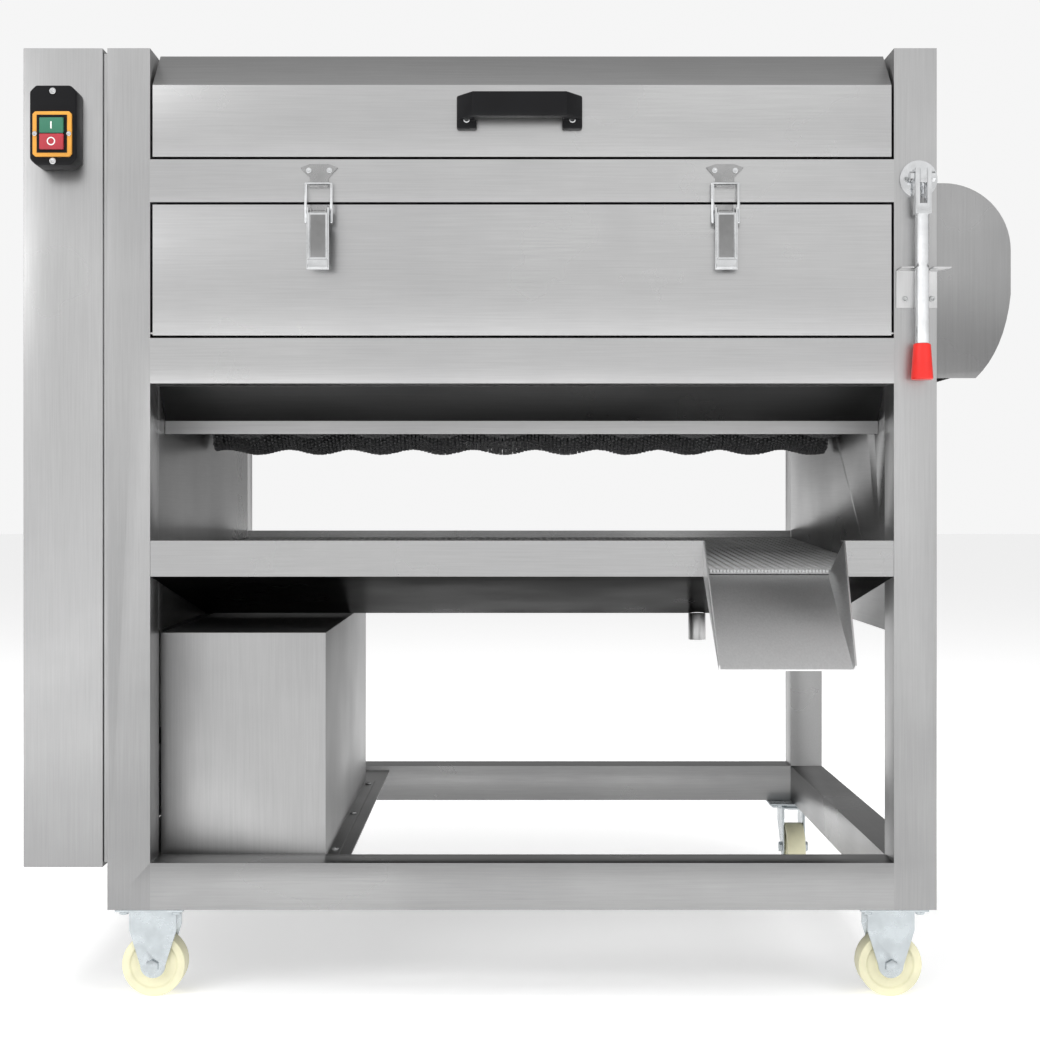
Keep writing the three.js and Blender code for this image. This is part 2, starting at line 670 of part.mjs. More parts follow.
function addHandle() {
  const half = HANDLE_WIDTH / 2;
  const foot = half - HANDLE_FOOT_WIDTH;
  const shoulder = half - HANDLE_FOOT_WIDTH * HANDLE_SHOULDER_SHARE;
  const bridge = [
    [-half, 0], [-half, -HANDLE_GRIP_DEPTH], [-shoulder, -HANDLE_REACH],
    [shoulder, -HANDLE_REACH], [half, -HANDLE_GRIP_DEPTH], [half, 0], [foot, 0],
    [foot, HANDLE_GRIP_DEPTH - HANDLE_REACH], [-foot, HANDLE_GRIP_DEPTH - HANDLE_REACH], [-foot, 0],
  ];
  const grip = prism('z', bridge, HANDLE_TOP - HANDLE_GRIP_HEIGHT, HANDLE_TOP);
  const drop = HANDLE_TOP - HANDLE_GRIP_HEIGHT - HANDLE_FOOT_DROP;
  const low = HANDLE_TOP - HANDLE_GRIP_HEIGHT + SHEET;
  const feet = [[-half, -foot], [foot, half]].map(([from, to]) => (
    block(from, to, -HANDLE_GRIP_DEPTH, 0, drop, low)
  ));
  place('lid_handle', join(grip, ...feet), 'black', HANDLE_SHIFT, -SEAT_GAP, 0);
}

// A pan folded from sheet, open at the back, with pin holes at its lower corners.
function addDoor() {
  const pan = cut(
    block(-PANEL_HALF, PANEL_HALF, 0, DOOR_DEPTH, DOOR_BOTTOM, DOOR_TOP),
    block(
      -PANEL_HALF + SHEET, PANEL_HALF - SHEET, SHEET, DOOR_DEPTH + OVERRUN,
      DOOR_BOTTOM + SHEET / 2, DOOR_TOP - SHEET,
    ),
    bore('x', DOOR_PIN, -INNER, INNER, DOOR_PIVOT_IN, DOOR_BOTTOM + DOOR_PIVOT_UP),
  );
  place('front_door', pan, 'steel');
}

// Catch on the lid rail: an eared plate whose lower edge is folded out as the ledge for the bail.
function catchPlate() {
  const ear = CATCH_TOP - CATCH_EAR_HEIGHT;
  const shoulder = CATCH_TOP - CATCH_EAR_HEIGHT / 4;
  const neck = CATCH_NECK / 2;
  const plate = prism('y', [
    [-neck, CATCH_LEDGE_Z], [neck, CATCH_LEDGE_Z], [neck, ear], [CATCH_WIDTH / 2, shoulder],
    [CATCH_WIDTH / 4, CATCH_TOP], [-CATCH_WIDTH / 4, CATCH_TOP], [-CATCH_WIDTH / 2, shoulder], [-neck, ear],
  ], -SEAT_GAP - SHEET, -SEAT_GAP);
  const ledge = block(
    -neck, neck, -SEAT_GAP - CATCH_LEDGE_REACH, -SEAT_GAP, CATCH_LEDGE_Z, CATCH_LEDGE_Z + SHEET,
  );
  return join(plate, ledge);
}

// Base on the door: a plate with two ears that carry the lever's pin.
function latchBase() {
  const half = LATCH_BASE_WIDTH / 2;
  const low = LATCH_PIVOT_Z - LATCH_BASE_LENGTH;
  const plate = block(-half, half, -SEAT_GAP - SHEET, -SEAT_GAP, low, DOOR_TOP - SEAT_GAP);
  const ears = [-half, half - SHEET].map((from) => block(
    from, from + SHEET, -LATCH_PIVOT_OUT - LATCH_PIN - SHEET, -SEAT_GAP,
    LATCH_PIVOT_Z - LATCH_PIN - SHEET, LATCH_PIVOT_Z + LATCH_PIN + SHEET,
  ));
  const reach = LATCH_LEVER_WIDTH / 2;
  return join(plate, ...ears, bar('x', LATCH_PIN, -reach, reach, -LATCH_PIVOT_OUT, LATCH_PIVOT_Z));
}

// Lever about its own pivot: a long plate with side flanges that turn on the base's pin.
function latchLever() {
  const half = LATCH_LEVER_WIDTH / 2;
  const front = -LATCH_PIN * 3;
  const face = block(-half, half, front - SHEET, front, -LATCH_LEVER_LENGTH, -LATCH_PIN);
  const flanges = [-half, half - SHEET].map((from) => block(
    from, from + SHEET, front - SHEET, LATCH_PIN * 2, -BAIL_DROP - LATCH_PIN * 2, LATCH_PIN * 2,
  ));
  const lip = block(
    -half, half, front - SHEET, front + SHEET, -LATCH_LEVER_LENGTH, -LATCH_LEVER_LENGTH + SHEET,
  );
  return cut(join(face, ...flanges, lip), bore('x', LATCH_PIN, -half - OVERRUN, half + OVERRUN));
}

// A stretch of wire between two points, with a rounded end at each.
function wire(a, b) {
  const straight = new THREE.CylinderGeometry(WIRE, WIRE, a.distanceTo(b), 6);
  straight.applyQuaternion(new THREE.Quaternion().setFromUnitVectors(Y, b.clone().sub(a).normalize()));
  straight.translate((a.x + b.x) / 2, (a.y + b.y) / 2, (a.z + b.z) / 2);
  const ends = [a, b].map((p) => new THREE.SphereGeometry(WIRE, 6, 4).translate(p.x, p.y, p.z));
  return [straight, ...ends];
}

// Wire bail from the lever's flanges up and over the catch's ledge, about the lever's pivot.
function latchBail() {
  const side = LATCH_LEVER_WIDTH / 2 + SEAT_GAP + WIRE;
  const rise = CATCH_LEDGE_Z + SHEET + SEAT_GAP + WIRE - LATCH_PIVOT_Z;
  const [lowLeft, topLeft, topRight, lowRight] = [
    new THREE.Vector3(-side, 0, -BAIL_DROP), new THREE.Vector3(-side, 0, rise),
    new THREE.Vector3(side, 0, rise), new THREE.Vector3(side, 0, -BAIL_DROP),
  ];
  return join(...wire(lowLeft, topLeft), ...wire(topLeft, topRight), ...wire(topRight, lowRight));
}

function addLatches() {
  for (const [side, x] of [['left', -LATCH_X], ['right', LATCH_X]]) {
    place(`latch_catch_${side}`, catchPlate(), 'zinc', x);
    place(`latch_base_${side}`, latchBase(), 'zinc', x);
    place(`latch_lever_${side}`, latchLever(), 'chrome', x, -LATCH_PIVOT_OUT, LATCH_PIVOT_Z);
    place(`latch_bail_${side}`, latchBail(), 'chrome', x, -LATCH_PIVOT_OUT, LATCH_PIVOT_Z);
  }
}

// Brush roller: a shaft with its sprocket and a brush whose bristle tips wind round it in a helix.
function brushRoller(driven) {
  const brushEnd = INNER - BRUSH_END_GAP;
  const steps = Math.round((2 * brushEnd * BRUSH_STEPS_PER_PITCH) / BRUSH_PITCH);
  const profile = [];
  for (let i = 0; i <= steps; i += 1) {
    profile.push(new THREE.Vector2(BRUSH_RADIUS, -brushEnd + (2 * brushEnd * i) / steps));
  }
  const ends = [new THREE.Vector2(0, -brushEnd), new THREE.Vector2(0, brushEnd)];
  const brush = new THREE.LatheGeometry([ends[0], ...profile, ends[1]], BRUSH_SIDES);
  const p = brush.attributes.position;
  for (let i = 0; i < p.count; i += 1) {
    const radius = Math.hypot(p.getX(i), p.getZ(i));
    if (radius > 0.5 * BRUSH_RADIUS) {
      const angle = Math.atan2(p.getZ(i), p.getX(i));
      const wave = Math.cos((2 * Math.PI * p.getY(i)) / BRUSH_PITCH - angle);
      const scale = (BRUSH_RADIUS + BRUSH_WAVE * wave) / radius;
      p.setX(i, p.getX(i) * scale);
      p.setZ(i, p.getZ(i) * scale);
    }
  }
  brush.rotateZ(-Math.PI / 2);
  const left = CHAIN_X - SPROCKET_WIDTH;
  const shaft = bar('x', SHAFT_RADIUS, left, INNER + SHAFT_RIGHT);
  const sprockets = [sprocket(CHAIN_X, SPROCKET_RADIUS)];
  if (driven) sprockets.push(sprocket(DRIVE_CHAIN_X, DRIVE_SPROCKET_RADIUS));
  return join(brush, shaft, ...sprockets);
}

function sprocket(x, radius) {
  return bar('x', radius, x - SPROCKET_WIDTH / 2, x + SPROCKET_WIDTH / 2, 0, 0, 16);
}

function addRollers() {
  const plain = brushRoller(false);
  const driven = brushRoller(true);
  const middle = (ROLLER_COUNT - 1) / 2;
  rollerCentres().forEach(([y, z], i) => {
    const geometry = i === middle ? driven : plain.clone();
    place(`brush_roller_${i + 1}`, geometry, 'bristle', 0, y, z);
  });
}

// The outline of a loop round two wheels of one radius, given their (y, z) centres.
function beltOutline(low, high, radius) {
  const shape = new THREE.Shape();
  shape.absarc(high[0], high[1], radius, 0, Math.PI, false);
  shape.absarc(low[0], low[1], radius, Math.PI, 2 * Math.PI, false);
  shape.closePath();
  return shape;
}

function addDrive() {
  const reach = SPROCKET_RADIUS + SEAT_GAP;
  const bowl = [BOWL_Y, BOWL_Z];
  const band = (extra) => {
    const shape = new THREE.Shape();
    const r = reach + extra;
    shape.absarc(bowl[0], bowl[1], BOWL_RADIUS + r, Math.PI, 2 * Math.PI, false);
    shape.absarc(bowl[0] + BOWL_RADIUS, bowl[1], r, 0, Math.PI / 2, false);
    shape.absarc(bowl[0] - BOWL_RADIUS, bowl[1], r, Math.PI / 2, Math.PI, false);
    shape.closePath();
    return shape;
  };
  const x = CHAIN_X - CHAIN_WIDTH / 2;
  const outer = prism('x', band(CHAIN_THICKNESS), x, x + CHAIN_WIDTH, [], 12);
  const inner = prism('x', band(0), x - OVERRUN, x + CHAIN_WIDTH + OVERRUN, [], 12);
  place('roller_chain', cut(outer, inner), 'darkSteel');

  const low = [BOWL_Y, MOTOR_Z];
  const high = rollerCentre((ROLLER_COUNT - 1) / 2);
  const drive = DRIVE_CHAIN_X - CHAIN_WIDTH / 2;
  const grown = DRIVE_SPROCKET_RADIUS + SEAT_GAP;
  const thick = grown + CHAIN_THICKNESS;
  place('drive_chain', cut(
    prism('x', beltOutline(low, high, thick), drive, drive + CHAIN_WIDTH, [], 16),
    prism('x', beltOutline(low, high, grown), drive - OVERRUN, drive + CHAIN_WIDTH + OVERRUN, [], 16),
  ), 'darkSteel');
}

// Gear motor lying along the machine, its shaft running left into the guard.
function addMotor() {
  const boxLeft = -INNER + MOTOR_INSET;
  const boxRight = boxLeft + GEARBOX_DEPTH;
  const box = block(
    boxLeft, boxRight, BOWL_Y - GEARBOX / 2, BOWL_Y + GEARBOX / 2, COVER_Z, MOTOR_Z + GEARBOX / 2,
  );
  const body = bar('x', MOTOR_RADIUS, boxRight - SHEET, boxRight + MOTOR_LENGTH, BOWL_Y, MOTOR_Z, 20);
  const foot = block(
    boxRight, boxRight + MOTOR_LENGTH - SHEET, BOWL_Y - MOTOR_RADIUS / 2, BOWL_Y + MOTOR_RADIUS / 2,
    COVER_Z, MOTOR_Z,
  );
  place('gear_motor', join(box, body, foot), 'motor');
  const shaft = bar('x', MOTOR_SHAFT, DRIVE_CHAIN_X - SPROCKET_WIDTH, boxLeft - SEAT_GAP);
  const driver = join(shaft, sprocket(DRIVE_CHAIN_X, DRIVE_SPROCKET_RADIUS));
  place('drive_sprocket', driver, 'darkSteel', 0, BOWL_Y, MOTOR_Z);
}

// Cover over the motor, open at the bottom and towards the guard, with a bolted foot.
function addMotorCover() {
  const right = COVER_LEFT + COVER_WIDTH;
  const top = COVER_Z + COVER_HEIGHT;
  const back = COVER_FRONT + COVER_DEPTH;
  const shell = cut(
    block(COVER_LEFT + SEAT_GAP, right, COVER_FRONT, back, COVER_Z, top),
    block(
      COVER_LEFT - OVERRUN, right - SHEET, COVER_FRONT + SHEET, back - SHEET,
      COVER_Z - OVERRUN, top - SHEET,
    ),
  );
  const foot = block(right - SHEET, right + COVER_FOOT, COVER_FRONT, back, COVER_Z, COVER_Z + SHEET);
  place('motor_cover', join(shell, foot), 'steel');
}

// Tall box on the left, open towards the legs, round the sprockets and chains.
function addGuard() {
  const face = -HALF - SEAT_GAP - GUARD_FLANGE;
  const end = -HALF - SEAT_GAP;
  const outer = block(GUARD_LEFT, face, 0, FRAME_DEPTH, GUARD_BOTTOM, FRAME_TOP);
  const flange = block(
    face - SHEET, end, GUARD_FLANGE, FRAME_DEPTH - GUARD_FLANGE,
    GUARD_BOTTOM + GUARD_FLANGE, FRAME_TOP - GUARD_FLANGE,
  );
  const hollow = block(
    GUARD_LEFT + SHEET, face - SHEET, SHEET, FRAME_DEPTH - SHEET, GUARD_BOTTOM + SHEET, FRAME_TOP - SHEET,
  );
  const inset = GUARD_FLANGE + SHEET;
  const mouth = block(
    face - SHEET * 2, end + OVERRUN, inset, FRAME_DEPTH - inset, GUARD_BOTTOM + inset, FRAME_TOP - inset,
  );
  place('drive_guard', cut(join(outer, flange), hollow, mouth), 'steel');
}

function chamfered(left, right, low, high, corner) {
  return [
    [left + corner, low], [right - corner, low], [right, low + corner], [right, high - corner],
    [right - corner, high], [left + corner, high], [left, high - corner], [left, low + corner],
  ];
}

function addSwitch() {
  const right = SWITCH_LEFT + SWITCH_WIDTH;
  const top = SWITCH_BOTTOM + SWITCH_HEIGHT;
  const front = -SEAT_GAP - SWITCH_DEPTH;
  const outline = chamfered(SWITCH_LEFT, right, SWITCH_BOTTOM, top, SWITCH_CORNER);
  place('switch_box', prism('y', outline, front, -SEAT_GAP), 'black');

  const middle = SWITCH_LEFT + SWITCH_WIDTH / 2;
  const bezelLow = SWITCH_BOTTOM + BEZEL_UP;
  const bezelBack = front - SEAT_GAP;
  const bezel = chamfered(
    middle - BEZEL_WIDTH / 2, middle + BEZEL_WIDTH / 2, bezelLow, bezelLow + BEZEL_HEIGHT, BEZEL_CORNER,
  );
  const half = BUTTON_WIDTH / 2;
  const centre = bezelLow + BEZEL_HEIGHT / 2;
  const wide = half + BUTTON_CLEARANCE;
  const tall = BUTTON_HEIGHT + BUTTON_CLEARANCE * 1.5;
  const window = [
    [middle - wide, centre - tall], [middle + wide, centre - tall],
    [middle + wide, centre + tall], [middle - wide, centre + tall],
  ];
  place('switch_bezel', prism('y', bezel, bezelBack - BEZEL_THICKNESS, bezelBack, [window]), 'yellow');

  const back = bezelBack - SEAT_GAP - BUTTON_TRAVEL;
  const button = (low) => (
    block(middle - half, middle + half, back - BUTTON_DEPTH, back, low, low + BUTTON_HEIGHT)
  );
  place('start_button', button(centre + BUTTON_CLEARANCE / 2), 'green');
  place('stop_button', button(centre - BUTTON_HEIGHT - BUTTON_CLEARANCE / 2), 'red');
}

// Gate plate outside the right end plate, hung on lugs at its top edge.
function addGate() {
  const half = GATE_WIDTH / 2 + GATE_LAP;
  const inside = INNER + PLATE + SEAT_GAP;
  const plateTop = GATE_TOP + GATE_LAP;
  const low = GATE_BOTTOM - GATE_LAP;
  const panel = block(inside, inside + PLATE, BOWL_Y - half, BOWL_Y + half, low, plateTop);
  const centre = [inside + HINGE_BARREL + GATE_BARREL_GAP, plateTop];
  const sleeve = bar('y', HINGE_BARREL, BOWL_Y - half, BOWL_Y + half, ...centre, 16);
  const hole = bore('y', HINGE_PIN, BOWL_Y - half - OVERRUN, BOWL_Y + half + OVERRUN, ...centre);
  place('gate', cut(join(panel, sleeve), hole), 'steel');
  const reach = half + SEAT_GAP;
  const pin = bar('y', HINGE_PIN, BOWL_Y - reach - SHEET * 2, BOWL_Y + reach + SHEET * 2, ...centre);
  const lugs = [BOWL_Y - reach - SHEET * 2, BOWL_Y + reach].map((y) => block(
    inside, centre[0] + HINGE_BARREL, y, y + SHEET * 2, plateTop - HINGE_BARREL, plateTop + HINGE_BARREL,
  ));
  place('gate_pin', join(pin, ...lugs), 'zinc');
}

function addLever() {
  const disc = bar('y', FLANGE_RADIUS, -SEAT_GAP - FLANGE_THICKNESS, -SEAT_GAP, LEVER_X, LEVER_Z, 24);
  const lug = block(
    LEVER_X - LUG_HALF, LEVER_X + LUG_HALF, -LEVER_PIVOT_OUT - LUG_HALF * 2, -SEAT_GAP - FLANGE_THICKNESS / 2,
    LEVER_Z - LUG_HALF * 2, LEVER_Z + LUG_HALF * 2,
  );
  const inner = LUG_HALF + SEAT_GAP;
  const outer = inner + FORK_CHEEK;
  const headInner = outer + SEAT_GAP;
  const headOuter = headInner + BOLT_HEAD_HEIGHT;
  const bolt = bar('x', PIVOT_BOLT, LEVER_X - headOuter, LEVER_X + headOuter, -LEVER_PIVOT_OUT, LEVER_Z);
  const heads = [[-headOuter, -headInner], [headInner, headOuter]].map(([from, to]) => bar(
    'x', PIVOT_HEAD, LEVER_X + from, LEVER_X + to, -LEVER_PIVOT_OUT, LEVER_Z, 6,
  ));
  place('lever_flange', join(disc, lug, bolt, ...heads), 'chrome');

  const cheek = (from) => block(from, from + FORK_CHEEK, -LEVER_ROD, LEVER_ROD, -FORK_LENGTH, FORK_TOP);
  const yoke = block(
    -outer, outer, -LEVER_ROD, LEVER_ROD, -FORK_LENGTH - LUG_HALF, -FORK_LENGTH + LUG_HALF * 2,
  );
  const rod = bar('z', LEVER_ROD, -LEVER_REACH, -FORK_LENGTH, 0, 0, 16);
  const hole = bore('x', PIVOT_BOLT, -outer - OVERRUN, outer + OVERRUN);
  const lever = cut(join(cheek(-outer), cheek(inner), yoke, rod), hole);
  place('gate_lever', lever, 'chrome', LEVER_X, -LEVER_PIVOT_OUT, LEVER_Z);

  const knob = new THREE.CylinderGeometry(KNOB_TOP_RADIUS, KNOB_BOTTOM_RADIUS, KNOB_LENGTH, 16);
  knob.rotateX(Math.PI / 2);
  knob.translate(0, 0, -KNOB_LENGTH / 2);
  const knobTop = LEVER_Z - LEVER_REACH - SEAT_GAP;
  place('lever_knob', weld(knob), 'knob', LEVER_X, -LEVER_PIVOT_OUT, knobTop);

  const guideRight = GUIDE_LEFT + GUIDE_WIDTH;
  const face = block(GUIDE_LEFT, HALF, -SEAT_GAP - SHEET, -SEAT_GAP, GUIDE_Z - GUIDE_HEIGHT, GUIDE_Z);
  const ledge = cut(
    block(GUIDE_LEFT, guideRight, -GUIDE_REACH, -SEAT_GAP, GUIDE_Z - SHEET, GUIDE_Z),
    block(
      LEVER_X - GUIDE_SLOT, LEVER_X + GUIDE_SLOT,
      -GUIDE_REACH - OVERRUN, -LEVER_PIVOT_OUT + LEVER_ROD + SHEET,
      GUIDE_Z - SHEET - OVERRUN, GUIDE_Z + OVERRUN,
    ),
  );
  place('lever_guide', join(face, ledge), 'steel');
}

// Hood over the discharge gate: two D-shaped cheeks under one bent skin, open below and to the gate.
function addSpout() {
  const outline = (inset) => {
    const left = HALF + SEAT_GAP - (inset ? OVERRUN : 0);
    const right = HALF + SEAT_GAP + SPOUT_REACH - inset;
    const low = SPOUT_BOTTOM - (inset ? OVERRUN : 0);
    const top = SPOUT_TOP - inset;
    const radius = SPOUT_CORNER - inset;
    const shape = new THREE.Shape();
    shape.moveTo(left, low);
    shape.lineTo(right - SPOUT_TOE, low);
    const toeTop = SPOUT_BOTTOM + SPOUT_TOE_RISE;
    shape.quadraticCurveTo(right - SPOUT_TOE / 6, SPOUT_BOTTOM + SPOUT_TOE_RISE / 3, right, toeTop);
    shape.lineTo(right, top - radius);
    shape.absarc(right - radius, top - radius, radius, 0, Math.PI / 2, false);
    shape.lineTo(left, top);
    shape.closePath();
    return shape;
  };
  const front = BOWL_Y - SPOUT_HALF_WIDTH;
  const back = BOWL_Y + SPOUT_HALF_WIDTH;
  const hood = cut(
    prism('y', outline(0), front, back),
    prism('y', outline(SHEET), front + SHEET, back - SHEET),
  );
  const reach = HALF - INNER - PLATE;
  const necks = [front, back - SHEET].map((y) => block(
    HALF + SEAT_GAP - reach, HALF + SEAT_GAP + SHEET, y, y + SHEET, SPOUT_BOTTOM, SPOUT_TOP,
  ));
  const roof = block(
    HALF + SEAT_GAP - reach, HALF + SEAT_GAP + SHEET, front, back, SPOUT_TOP - SHEET, SPOUT_TOP,
  );
  place('discharge_spout', join(hood, roof, ...necks), 'steel');
}

function addSprayPipe() {
  place('spray_pipe', bar('x', SPRAY_RADIUS, -INSIDE, INSIDE, BOWL_Y, SPRAY_Z, 12), 'darkSteel');
}

// A wheel about its own centre, its axle along Y, with a flat facet at the bottom.
function casterWheel() {
  const facet = WHEEL_RADIUS / Math.cos(Math.PI / WHEEL_SIDES);
  const tread = bar('y', facet, -WHEEL_HALF_WIDTH, WHEEL_HALF_WIDTH, 0, 0, WHEEL_SIDES);
  const hole = bore('y', AXLE_RADIUS, -WHEEL_HALF_WIDTH - OVERRUN, WHEEL_HALF_WIDTH + OVERRUN);
  return cut(tread, hole);
}

// Two cheeks with round eyes, their axle bolt and a bridge, about the wheel's centre; axle along Y.
function casterFork(bridgeTop, trail) {
  const gap = WHEEL_HALF_WIDTH + WHEEL_SIDE_GAP;
  const shape = new THREE.Shape();
  shape.absarc(0, 0, FORK_EYE, Math.PI, 2 * Math.PI, false);
  shape.lineTo(FORK_TOP_HALF + trail, bridgeTop - FORK_TOP_HALF);
  shape.lineTo(FORK_TOP_HALF + trail, bridgeTop);
  shape.lineTo(-FORK_TOP_HALF + trail, bridgeTop);
  shape.lineTo(-FORK_TOP_HALF + trail, bridgeTop - FORK_TOP_HALF);
  shape.closePath();
  const cheeks = [gap, -gap - FORK_THICKNESS].map((y) => prism('y', shape.clone(), y, y + FORK_THICKNESS));
  const bridge = block(
    -FORK_TOP_HALF + trail, FORK_TOP_HALF + trail, -gap - FORK_THICKNESS, gap + FORK_THICKNESS,
    bridgeTop - FORK_THICKNESS, bridgeTop,
  );
  const boltEnd = gap + FORK_THICKNESS;
  const bolt = bar('y', AXLE_RADIUS, -boltEnd - BOLT_HEAD_HEIGHT / 2, boltEnd + BOLT_HEAD_HEIGHT / 2);
  const heads = [[-boltEnd - BOLT_HEAD_HEIGHT, -boltEnd], [boltEnd, boltEnd + BOLT_HEAD_HEIGHT]];
  return join(...cheeks, bridge, bolt, ...heads.map(([from, to]) => bar('y', BOLT_HEAD, from, to, 0, 0, 6)));
}

function casterPlate(top) {
  const half = CASTER_PLATE / 2;
  return block(-half, half, -half, half, top - PLATE, top);
}

function addCasters() {
  const plateTop = CASTER_HEIGHT - SEAT_GAP;
  const rise = plateTop - WHEEL_RADIUS;
  const rigid = join(casterFork(rise - PLATE / 2, 0), casterPlate(rise));
  const raceTop = rise - PLATE - SEAT_GAP;
  const race = bar('z', RACE_RADIUS, raceTop - RACE_HEIGHT, raceTop, CASTER_TRAIL, 0, 16);
  const swivel = join(casterFork(raceTop - RACE_HEIGHT / 2, CASTER_TRAIL), race);
  const swivelY = CASTER_BACK_Y - CASTER_TRAIL;
  for (const [side, x] of [['left', -CASTER_X], ['right', CASTER_X]]) {
    place(`rigid_fork_${side}`, rigid.clone(), 'zinc', x, CASTER_FRONT_Y, WHEEL_RADIUS);
    place(`front_wheel_${side}`, casterWheel(), 'nylon', x, CASTER_FRONT_Y, WHEEL_RADIUS);
    place(`swivel_plate_${side}`, casterPlate(plateTop), 'zinc', x, CASTER_BACK_Y);
    const fork = place(`swivel_fork_${side}`, swivel.clone(), 'zinc', x, swivelY, WHEEL_RADIUS);
    const wheel = place(`back_wheel_${side}`, casterWheel(), 'nylon', x, swivelY, WHEEL_RADIUS);
    fork.rotation.z = Math.PI / 2;
    wheel.rotation.z = Math.PI / 2;
  }
}

addFrame();
addEndPlates();
addSkins();
addTray();
addScreen();
addChute();
addLid();
addLidHinges();
addHandle();
addDoor();
addLatches();
addRollers();
addDrive();
addMotor();
addMotorCover();
addGuard();
addSwitch();
addGate();
addLever();
addSpout();
addSprayPipe();
addCasters();

// The origin is the middle of the footprint, on the floor.
const extent = new THREE.Box3().setFromObject(peeler, true);
const middle = extent.getCenter(new THREE.Vector3());
peeler.position.set(-middle.x, -middle.y, -extent.min.z);

export default peeler;
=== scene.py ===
"""A brush-roller potato peeler in brushed stainless steel, dressed for its studio picture.

Places named in millimetres are machine places: widths from the middle of the frame, depths from the
front face of the legs and heights from the floor. spot() turns them into the picture's metres.
"""

import logging
import math
import random
from contextlib import contextmanager
from dataclasses import dataclass
from enum import Enum
from functools import cache
from typing import Callable, Iterator, Sequence

import bpy
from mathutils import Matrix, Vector


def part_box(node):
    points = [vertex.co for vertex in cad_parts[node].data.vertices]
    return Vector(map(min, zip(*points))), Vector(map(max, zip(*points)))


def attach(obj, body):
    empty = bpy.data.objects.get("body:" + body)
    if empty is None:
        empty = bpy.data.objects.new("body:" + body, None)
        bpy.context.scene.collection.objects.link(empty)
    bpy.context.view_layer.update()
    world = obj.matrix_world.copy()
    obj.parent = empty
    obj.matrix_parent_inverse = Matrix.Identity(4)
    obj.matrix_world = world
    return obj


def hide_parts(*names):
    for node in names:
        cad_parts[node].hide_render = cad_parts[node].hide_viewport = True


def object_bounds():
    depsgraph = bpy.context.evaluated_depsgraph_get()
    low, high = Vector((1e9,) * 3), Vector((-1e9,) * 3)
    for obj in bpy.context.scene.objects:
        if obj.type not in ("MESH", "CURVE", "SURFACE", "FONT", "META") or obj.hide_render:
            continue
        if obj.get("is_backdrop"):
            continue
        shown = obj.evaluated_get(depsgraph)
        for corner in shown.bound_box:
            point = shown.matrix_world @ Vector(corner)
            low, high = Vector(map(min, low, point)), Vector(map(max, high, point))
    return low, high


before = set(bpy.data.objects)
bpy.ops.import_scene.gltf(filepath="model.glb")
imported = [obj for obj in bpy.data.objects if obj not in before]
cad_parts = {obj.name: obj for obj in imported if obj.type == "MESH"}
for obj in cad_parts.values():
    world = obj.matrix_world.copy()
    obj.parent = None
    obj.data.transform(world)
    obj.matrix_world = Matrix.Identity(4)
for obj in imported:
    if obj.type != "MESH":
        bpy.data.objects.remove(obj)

Pair = tuple[float, float]
Triple = tuple[float, float, float]
Piece = bpy.types.Object
Face = bpy.types.MeshPolygon
Material = bpy.types.Material
Tree = bpy.types.NodeTree
Node = bpy.types.Node
Socket = bpy.types.NodeSocket

log = logging.getLogger("peeler")
CAD_BOX = [list(corner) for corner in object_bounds()]
MM = 0.001
FRAME_LOW = Vector(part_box("frame")[0])
HALF_WIDTH = 485.0
FRONT = Vector((0.0, -1.0, 0.0))
UP = Vector((0.0, 0.0, 1.0))
DOWN = -UP
EVEN = (1.0, 1.0, 1.0)
SMOOTH_ANGLE = 40.0
FACES_SAME_WAY = 0.9
WELD_GAP = 0.00001
FLAT_ANGLE = 0.5
PATTERN_SPAN = (0.3, 0.7)
HEAD_SIDES = 20
HEAD_ROUNDING_SHARE = 0.3
RECESS_RIM_SHARE = 0.55
RECESS_DEPTH_SHARE = 0.5
SCREW_SIZES = {
    "bolt": (0.0055, 0.004),
    "rivet": (0.0033, 0.0014),
    "handle_ring": (0.0056, 0.0012),
    "handle_screw": (0.0038, 0.0016),
    "box_screw": (0.0038, 0.0018),
    "bezel_screw": (0.0028, 0.0014),
    "flange_screw": (0.0028, 0.0016),
    "guide_bolt": (0.0034, 0.002),
    "cover_bolt": (0.0045, 0.003),
    "bearing_screw": (0.0022, 0.0015),
}


def spot(x: float, y: float, z: float) -> Vector:
    """Turns a machine place into metres.

    Args:
        x: Millimetres right of the frame's middle.
        y: Millimetres behind the legs' front face.
        z: Millimetres above the floor.

    Returns:
        The same place in the picture's metres.
    """
    return Vector((FRAME_LOW.x + (x + HALF_WIDTH) * MM, FRAME_LOW.y + y * MM, z * MM))


class Grain(Enum):
    """The way a sheet's brushing runs."""

    ALONG_X = (12.0, 520.0, 520.0)
    ALONG_Y = (520.0, 12.0, 520.0)
    ALONG_Z = (520.0, 520.0, 12.0)


def new_material(name: str) -> tuple[Material, Tree, Node]:
    """Starts a node material.

    Args:
        name: The material's name.

    Returns:
        The material, its node tree and its shader.
    """
    made = bpy.data.materials.new(name)
    made.use_nodes = True
    tree = made.node_tree
    return made, tree, tree.nodes["Principled BSDF"]


def add_node(tree: Tree, kind: str, **inputs: object) -> Node:
    """Adds a node to a material or the room.

    Args:
        tree: The nodes that it joins.
        kind: The node's kind.
        **inputs: The values of its inputs.

    Returns:
        The node.
    """
    node = tree.nodes.new(f"ShaderNode{kind}")
    for name, value in inputs.items():
        node.inputs[name].default_value = value
    return node


